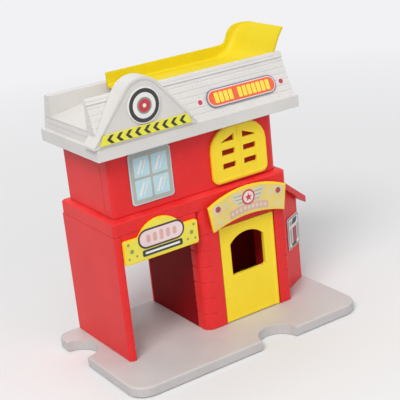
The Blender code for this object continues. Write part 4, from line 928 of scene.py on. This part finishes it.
# Door sign: a badge with wings over a band of blocks, and dots at both ends
DOOR_FIELD = {"half": 0.0358, "low": -0.0147, "high": 0.0054, "low_rise": 0.0064,
              "high_rise": 0.0090, "flare": 0.0031}
DOOR_BAND = {"half": 0.0198, "low": -0.0088, "high": -0.0025, "low_rise": 0.0028,
             "high_rise": 0.0029}
BAND_COUNT, BAND_PITCH, BAND_TOP, BAND_FALL = 4, 0.0042, -0.0032, 0.0018
BAND_BLOCK = {"width": 0.0026, "height": 0.0032, "corner": 0.0005}
WING = ((0.0052, 0.0108), (0.0168, 0.0120), (0.0156, 0.0066), (0.0124, 0.0012), (0.0058, 0.0004))
WING_BARS = ((0.0106, 0.0092, 0.0084), (0.0098, 0.0059, 0.0072), (0.0088, 0.0026, 0.0052))
WING_BAR_HEIGHT, WING_BAR_CORNER, WING_LEAN = 0.0012, 0.0004, 0.2
DOT_U, DOT_V, DOT_RIM, DOT = 0.0312, 0.0034, 0.0040, 0.0026
TAB = {"v": 0.0040, "width": 0.0026, "height": 0.0050, "corner": 0.0010}
TAB_U = 0.0222
FOOT_DOT_U, FOOT_DOT_V, FOOT_DOT = 0.0300, -0.0085, 0.0015
BADGE_V, BADGE_RING, BADGE_DISC = 0.0060, 0.0066, 0.0052
STAR = {"u": 0, "v": 0.0058, "outer": 0.0036, "inner": 0.0016}


def door_sign():
    wings = [[(side * u, v) for u, v in WING] for side in SIDES]
    bars = [block(side * u, v, width, WING_BAR_HEIGHT, WING_BAR_CORNER, side * WING_LEAN)
            for side in SIDES for u, v, width in WING_BARS]
    rims = [disc(side * DOT_U, DOT_V, DOT_RIM) for side in SIDES]
    rims += [block(side * TAB_U, **TAB) for side in SIDES]
    rims += [disc(side * FOOT_DOT_U, FOOT_DOT_V, FOOT_DOT) for side in SIDES]
    dots = [disc(side * DOT_U, DOT_V, DOT) for side in SIDES]
    blocks = [block(i * BAND_PITCH, BAND_TOP - BAND_FALL * (i / BAND_COUNT) ** 2, **BAND_BLOCK)
              for i in range(-BAND_COUNT, BAND_COUNT + 1)]
    print_films(
        sign_place("door_sign"),
        ("door_sign_field", [bowed(**DOOR_FIELD)], SIGN_YELLOW, "label_yellow", 0),
        ("door_sign_band", [bowed(**DOOR_BAND)], PINK, "label_yellow", 1),
        ("door_sign_wings", wings, PALE_GREY, "label_white", 1),
        ("door_sign_bars", bars, PRINT_GREY, "label_white", 2),
        ("door_sign_dot_rims", rims, PALE_GREY, "label_white", 1),
        ("door_sign_dots", dots, DOT_RED, "red", 2),
        ("door_sign_ring", [disc(0, BADGE_V, BADGE_RING)], PRINT_RED, "red", 3),
        ("door_sign_disc", [disc(0, BADGE_V, BADGE_DISC)], PINK_WHITE, "label_white", 4),
        ("door_sign_star", [star(**STAR)], PRINT_RED, "red", 5),
        ("door_sign_blocks", blocks, PALE_GREY, "label_white", 2),
    )


# Garage sign: a cartouche with bars over a dark plate with a line, and spots at both ends
SIGN_RIM = 0.0013
SIGN_SHOULDER = 0.0205
SIGN_ARCH_HALF = 0.0192
SIGN_ARCH_STEPS = 24
CARTOUCHE_V = 0.0016
CARTOUCHE = {"width": 0.0440, "height": 0.0165, "corner": 0.0080}
CARTOUCHE_PANEL = {"width": 0.0408, "height": 0.0133, "corner": 0.0064}
SIGN_BAR_PITCH, SIGN_BAR_WIDTH, SIGN_BAR_CORNER = 0.0062, 0.0036, 0.0016
SIGN_BAR_HEIGHT, SIGN_BAR_FALL = 0.0088, 0.0012
SIGN_BARS = range(-2, 3)
SIGN_PLATE_V = -0.0101
SIGN_PLATE = {"width": 0.0380, "height": 0.0054, "corner": 0.0014}
SIGN_LINE = {"width": 0.0330, "height": 0.0018, "corner": 0.0006}
SIGN_SPOTS = ((0.0311, 0.0010, 0.0012), (0.0284, -0.0052, 0.0018), (0.0315, -0.0110, 0.0010),
              (0.0242, -0.0102, 0.0010))
SPOT_STEPS = 24


def garage_sign():
    low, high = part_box("garage_sign")
    half, tall = (high.x - low.x) / 2 - SIGN_RIM, (high.z - low.z) / 2 - SIGN_RIM
    shoulder = SIGN_SHOULDER - tall - 2 * SIGN_RIM
    angles = [math.pi * i / SIGN_ARCH_STEPS for i in range(SIGN_ARCH_STEPS + 1)]
    arch = [(SIGN_ARCH_HALF * math.cos(angle), shoulder + (tall - shoulder) * math.sin(angle))
            for angle in angles]
    field = [(-half, -tall), (half, -tall), (half, shoulder)] + arch + [(-half, shoulder)]
    bars = [block(i * SIGN_BAR_PITCH, CARTOUCHE_V, SIGN_BAR_WIDTH,
                  SIGN_BAR_HEIGHT - SIGN_BAR_FALL * abs(i), SIGN_BAR_CORNER) for i in SIGN_BARS]
    spots = [disc(side * u, v, radius, SPOT_STEPS)
             for side in SIDES for u, v, radius in SIGN_SPOTS]
    print_films(
        sign_place("garage_sign"),
        ("garage_sign_field", [field], GARAGE_YELLOW, "label_yellow", 0),
        ("garage_sign_cartouche", [block(0, CARTOUCHE_V, **CARTOUCHE)],
         DARK_BROWN, "label_white", 1),
        ("garage_sign_panel", [block(0, CARTOUCHE_V, **CARTOUCHE_PANEL)],
         PINK_WHITE, "label_white", 2),
        ("garage_sign_bars", bars, PINK, "label_white", 3),
        ("garage_sign_plate", [block(0, SIGN_PLATE_V, **SIGN_PLATE)], BLACK, "label_white", 2),
        ("garage_sign_line", [block(0, SIGN_PLATE_V, **SIGN_LINE)], WHITE, "label_white", 3),
        ("garage_sign_spots", spots, OLIVE, "label_yellow", 1),
    )


# Hazard strip
STRIP_SIDE_RIM = 0.0004
STRIP_RIM = 0.0003
STRIP_LEAN = 0.0038
CHEVRON = {"height": 0.0066, "run": 0.0033, "stroke": 0.0031}
CHEVRON_COUNT, CHEVRON_START, CHEVRON_PITCH = 9, 0.0302, 0.0082


def hazard_strip():
    low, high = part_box("hazard_strip")
    half, tall = (high.x - low.x) / 2 - STRIP_SIDE_RIM, (high.z - low.z) / 2 - STRIP_RIM
    field = [(-half, -tall), (half, -tall), (half - STRIP_LEAN, tall), (STRIP_LEAN - half, tall)]
    marks = [chevron(CHEVRON_START - CHEVRON_PITCH * i, **CHEVRON) for i in range(CHEVRON_COUNT)]
    print_films(
        sign_place("hazard_strip"),
        ("hazard_field", [field], STRIP_YELLOW, "label_yellow", 0),
        ("hazard_chevrons", marks, BLACK, "label_yellow", 1),
    )


# Gable emblem: plain rings, each with its radius and steps
EMBLEM = (
    ("emblem_ring", 0.0134, 64, BLACK, "label_white"),
    ("emblem_field", 0.0102, 64, WHITE, "label_white"),
    ("emblem_inner_ring", 0.0066, 56, MID_GREY, "label_white"),
    ("emblem_dot", 0.0052, 48, PRINT_RED, "red"),
    ("emblem_spot", 0.0016, 24, WHITE, "label_white"),
)


def emblem():
    place = sign_place("gable_emblem")
    for level, (name, radius, steps, material, slot) in enumerate(EMBLEM):
        decal(place, name, [disc(0, 0, radius, steps)], material, slot, level)


# Window label: four panes with two glints each
PANE_FRAME = {"u": 0, "v": 0, "width": 0.0375, "height": 0.0410, "corner": 0.0024}
PANE_U, PANE_V = 0.0083, 0.0092
PANE = {"width": 0.0146, "height": 0.0162, "corner": 0.0012}
GLINTS = ((-0.0016, 0.0022, 0.0004), (0.0020, 0.0010, 0.0003))
GLINT_HEIGHT, GLINT_LEAN = 0.0110, 0.45


def pane_label():
    middles = [(su * PANE_U, sv * PANE_V) for su in SIDES for sv in SIDES]
    glints = [block(u + shift, v, width, GLINT_HEIGHT, corner, GLINT_LEAN)
              for u, v in middles for shift, width, corner in GLINTS]
    print_films(
        sign_place("pane_label"),
        ("pane_frame", [block(**PANE_FRAME)], PRINT_GREY, "label_white", 0),
        ("pane_glass", [block(*middle, **PANE) for middle in middles],
         PALE_BLUE, "label_blue", 1),
        ("pane_glints", glints, WHITE, "label_white", 2),
    )


# Alarm label on the angled wall: blocks as (u, v, width, height, corner, lean)
ALARM_TURN = math.atan2(0.020, 0.037)
ALARM_FRAME = (0, 0, 0.0228, 0.0288, 0.0012)
ALARM_FIELD = (0, 0, 0.0200, 0.0260, 0.0008)
ALARM_TOP = (0.0022, 0.0098, 0.0090, 0.0048, 0.0008, 0.60)
ALARM_SIDES = (
    (-0.0060, 0.0092, 0.0046, 0.0040, 0.0006), (-0.0066, -0.0030, 0.0034, 0.0135, 0.0006),
    (0.0079, -0.0020, 0.0026, 0.0150, 0.0006),
)
ALARM_BAR = (0.0013, -0.0030, 0.0080, 0.0140, 0.0006)
ALARM_FOOT = (-0.0008, -0.0115, 0.0100, 0.0026, 0.0006)


def alarm_label():
    print_films(
        sign_place("alarm_label", turn=ALARM_TURN),
        ("alarm_frame", [block(*ALARM_FRAME)], MID_GREY, "label_white", 0),
        ("alarm_field", [block(*ALARM_FIELD)], WHITE, "label_white", 1),
        ("alarm_top", [block(*ALARM_TOP)], BLACK, "label_white", 2),
        ("alarm_sides", [block(*side) for side in ALARM_SIDES], PRINT_GREY, "label_white", 2),
        ("alarm_bar", [block(*ALARM_BAR)], DOT_RED, "red", 2),
        ("alarm_foot", [block(*ALARM_FOOT)], BLACK, "label_white", 2),
    )


# Pill sign on the leaning fascia, with a dot beyond each end
PILL_TILT = math.atan2(0.0125, 0.0307)
PILL_WIDTH = 0.070
PILL_HEIGHT = 0.0158
PILL_ROUND = 0.0079
PILL_STEPS = 16
PILL_PROUD = 0.0011
PILL_FILMS = (
    ("pill_rim", 0.0003, SLATE, "label_orange"),
    ("pill_ring", 0.0011, PINK_WHITE, "label_white"),
    ("pill_body", 0.0019, ORANGE, "label_orange"),
)
PILL_WORDS = ((-0.0274, 4), (-0.0041, 7))
PILL_BLOCK = {"v": 0, "width": 0.0038, "height": 0.0087, "corner": 0.0010}
PILL_PITCH, PILL_BLOCK_SHIFT = 0.0047, 0.0018
FASCIA_DOT_U, FASCIA_DOT_V, FASCIA_DOT_RIM, FASCIA_DOT = 0.0410, -0.0002, 0.0031, 0.0021


def pill_sign():
    place = sign_place("pill_sign", tilt=PILL_TILT)
    for level, (name, inset, material, slot) in enumerate(PILL_FILMS):
        shape = block(0, 0, PILL_WIDTH - 2 * inset, PILL_HEIGHT - 2 * inset, PILL_ROUND - inset,
                      steps=PILL_STEPS)
        decal(place, name, [shape], material, slot, level)
    starts = [start + PILL_PITCH * i for start, count in PILL_WORDS for i in range(count)]
    marks = [block(u + PILL_BLOCK_SHIFT, **PILL_BLOCK) for u in starts]
    decal(place, "pill_blocks", marks, BLOCK_YELLOW, "label_yellow", len(PILL_FILMS))
    rims = [disc(side * FASCIA_DOT_U, FASCIA_DOT_V, FASCIA_DOT_RIM) for side in SIDES]
    dots = [disc(side * FASCIA_DOT_U, FASCIA_DOT_V, FASCIA_DOT) for side in SIDES]
    print_films(
        place @ Matrix.Translation((0, 0, -PILL_PROUD)),
        ("fascia_dot_rims", rims, PINK_WHITE, "label_white", 0),
        ("fascia_dots", dots, DOT_RED, "red", 1),
    )


# Stage
FLOOR_RADIUS = 6.0
FLOOR_SIDES = 96
FLOOR_DROP = 0.0003
FLOOR_SCALE = 3.0
FLOOR_SEEN = (0.79, 0.79, 0.79, 1)
FLOOR_SEEN_PALE = (0.81, 0.81, 0.82, 1)
FLOOR_LIT = (0.52, 0.52, 0.52, 1)
FLOOR_ROUGH, FLOOR_GLOSS = 0.9, 0.1
FLOOR_FADE = (0.25, 1.1)
BACKDROP = (0.885, 0.885, 0.90, 1)
WORLD_COLOR = (0.96, 0.98, 1.0, 1)
WORLD_LIGHT = 0.45


def stage_floor():
    """Pale round floor that fades into the backdrop's colour away from the toy."""
    bm = bmesh.new()
    bmesh.ops.create_circle(bm, cap_ends=True, segments=FLOOR_SIDES, radius=FLOOR_RADIUS)
    floor = bpy.data.objects.new("floor", mesh_of(bm, "floor"))
    floor.location.z = -FLOOR_DROP
    bpy.context.scene.collection.objects.link(floor)
    t = Tree(bpy.data.materials.new("floor_paper"))
    place = t.place()
    seen = t.seen()
    shown = t.mix(t.noise(place, FLOOR_SCALE), FLOOR_SEEN, FLOOR_SEEN_PALE)
    t.feed(t.mix(seen, FLOOR_LIT, shown), t.shader.inputs["Base Color"])
    t.feed(FLOOR_ROUGH, t.shader.inputs["Roughness"])
    t.feed(FLOOR_GLOSS, t.shader.inputs["Specular IOR Level"])
    reach = t.add("ShaderNodeVectorMath", {0: place}, operation="LENGTH").outputs["Value"]
    far = t.math("MULTIPLY", t.ramp(reach, *FLOOR_FADE), seen)
    glow = t.add("ShaderNodeEmission", {"Color": BACKDROP, "Strength": 1.0}).outputs[0]
    blend = t.add("ShaderNodeMixShader", {0: far, 1: t.shader.outputs[0], 2: glow})
    t.feed(blend.outputs[0], t.nodes["Material Output"].inputs["Surface"])
    floor.data.materials.append(t.owner)


def stage_world():
    """Soft even light, with the backdrop's colour where it is seen."""
    t = Tree(bpy.data.worlds.new("studio"))
    bpy.context.scene.world = t.owner
    soft = t.nodes["Background"]
    t.feed(WORLD_COLOR, soft.inputs["Color"])
    t.feed(WORLD_LIGHT, soft.inputs["Strength"])
    shown = t.add("ShaderNodeBackground", {"Color": BACKDROP}).outputs[0]
    blend = t.add("ShaderNodeMixShader", {0: t.seen(), 1: soft.outputs[0], 2: shown})
    t.feed(blend.outputs[0], t.nodes["World Output"].inputs["Surface"])


# Lamps: place, size, power and colour
LAMP_AIM = Vector((0, 0, 0.1))
WARM, COOL, NEUTRAL = (1.0, 0.985, 0.96), (0.95, 0.97, 1.0), (1, 1, 1)
LAMPS = {
    "key": ((-1.35, -1.02, 1.95), 1.2, 41.0, WARM),
    "front": ((0.1, -2.2, 1.2), 1.4, 7.5, WARM),
    "fill": ((1.7, -1.1, 0.9), 1.4, 4.0, COOL),
    "top": ((0.2, 0.9, 1.9), 1.2, 6.0, NEUTRAL),
}


def lights():
    for name, (spot, size, power, color) in LAMPS.items():
        data = bpy.data.lights.new(name, "AREA")
        data.shape = "DISK"
        data.size = size
        data.energy = power
        data.color = color
        light = bpy.data.objects.new(name, data)
        light.location = spot
        aim = LAMP_AIM - Vector(spot)
        light.rotation_euler = aim.to_track_quat("-Z", "Y").to_euler()
        bpy.context.scene.collection.objects.link(light)


def camera():
    data = bpy.data.cameras.new("camera")
    data.lens = LENS
    data.clip_start = CLIP_START
    data.clip_end = CLIP_END
    view = bpy.data.objects.new("camera", data)
    aim = (CAMERA_AIM - CAMERA_SPOT).to_track_quat("-Z", "Y")
    view.rotation_mode = "QUATERNION"
    view.rotation_quaternion = aim @ Matrix.Rotation(-CAMERA_ROLL, 3, "Z").to_quaternion()
    view.location = CAMERA_SPOT
    bpy.context.scene.collection.objects.link(view)
    bpy.context.scene.camera = view


camera()
lights()
stage_floor()
stage_world()
bpy.context.scene.view_settings.view_transform = "Standard"
shells()
launch_deck()
gable_frame()
window_relief()
window_painted_shade()
garage_lintel()
door_rib()
screws()
door_sign()
garage_sign()
hazard_strip()
emblem()
pane_label()
alarm_label()
pill_sign()
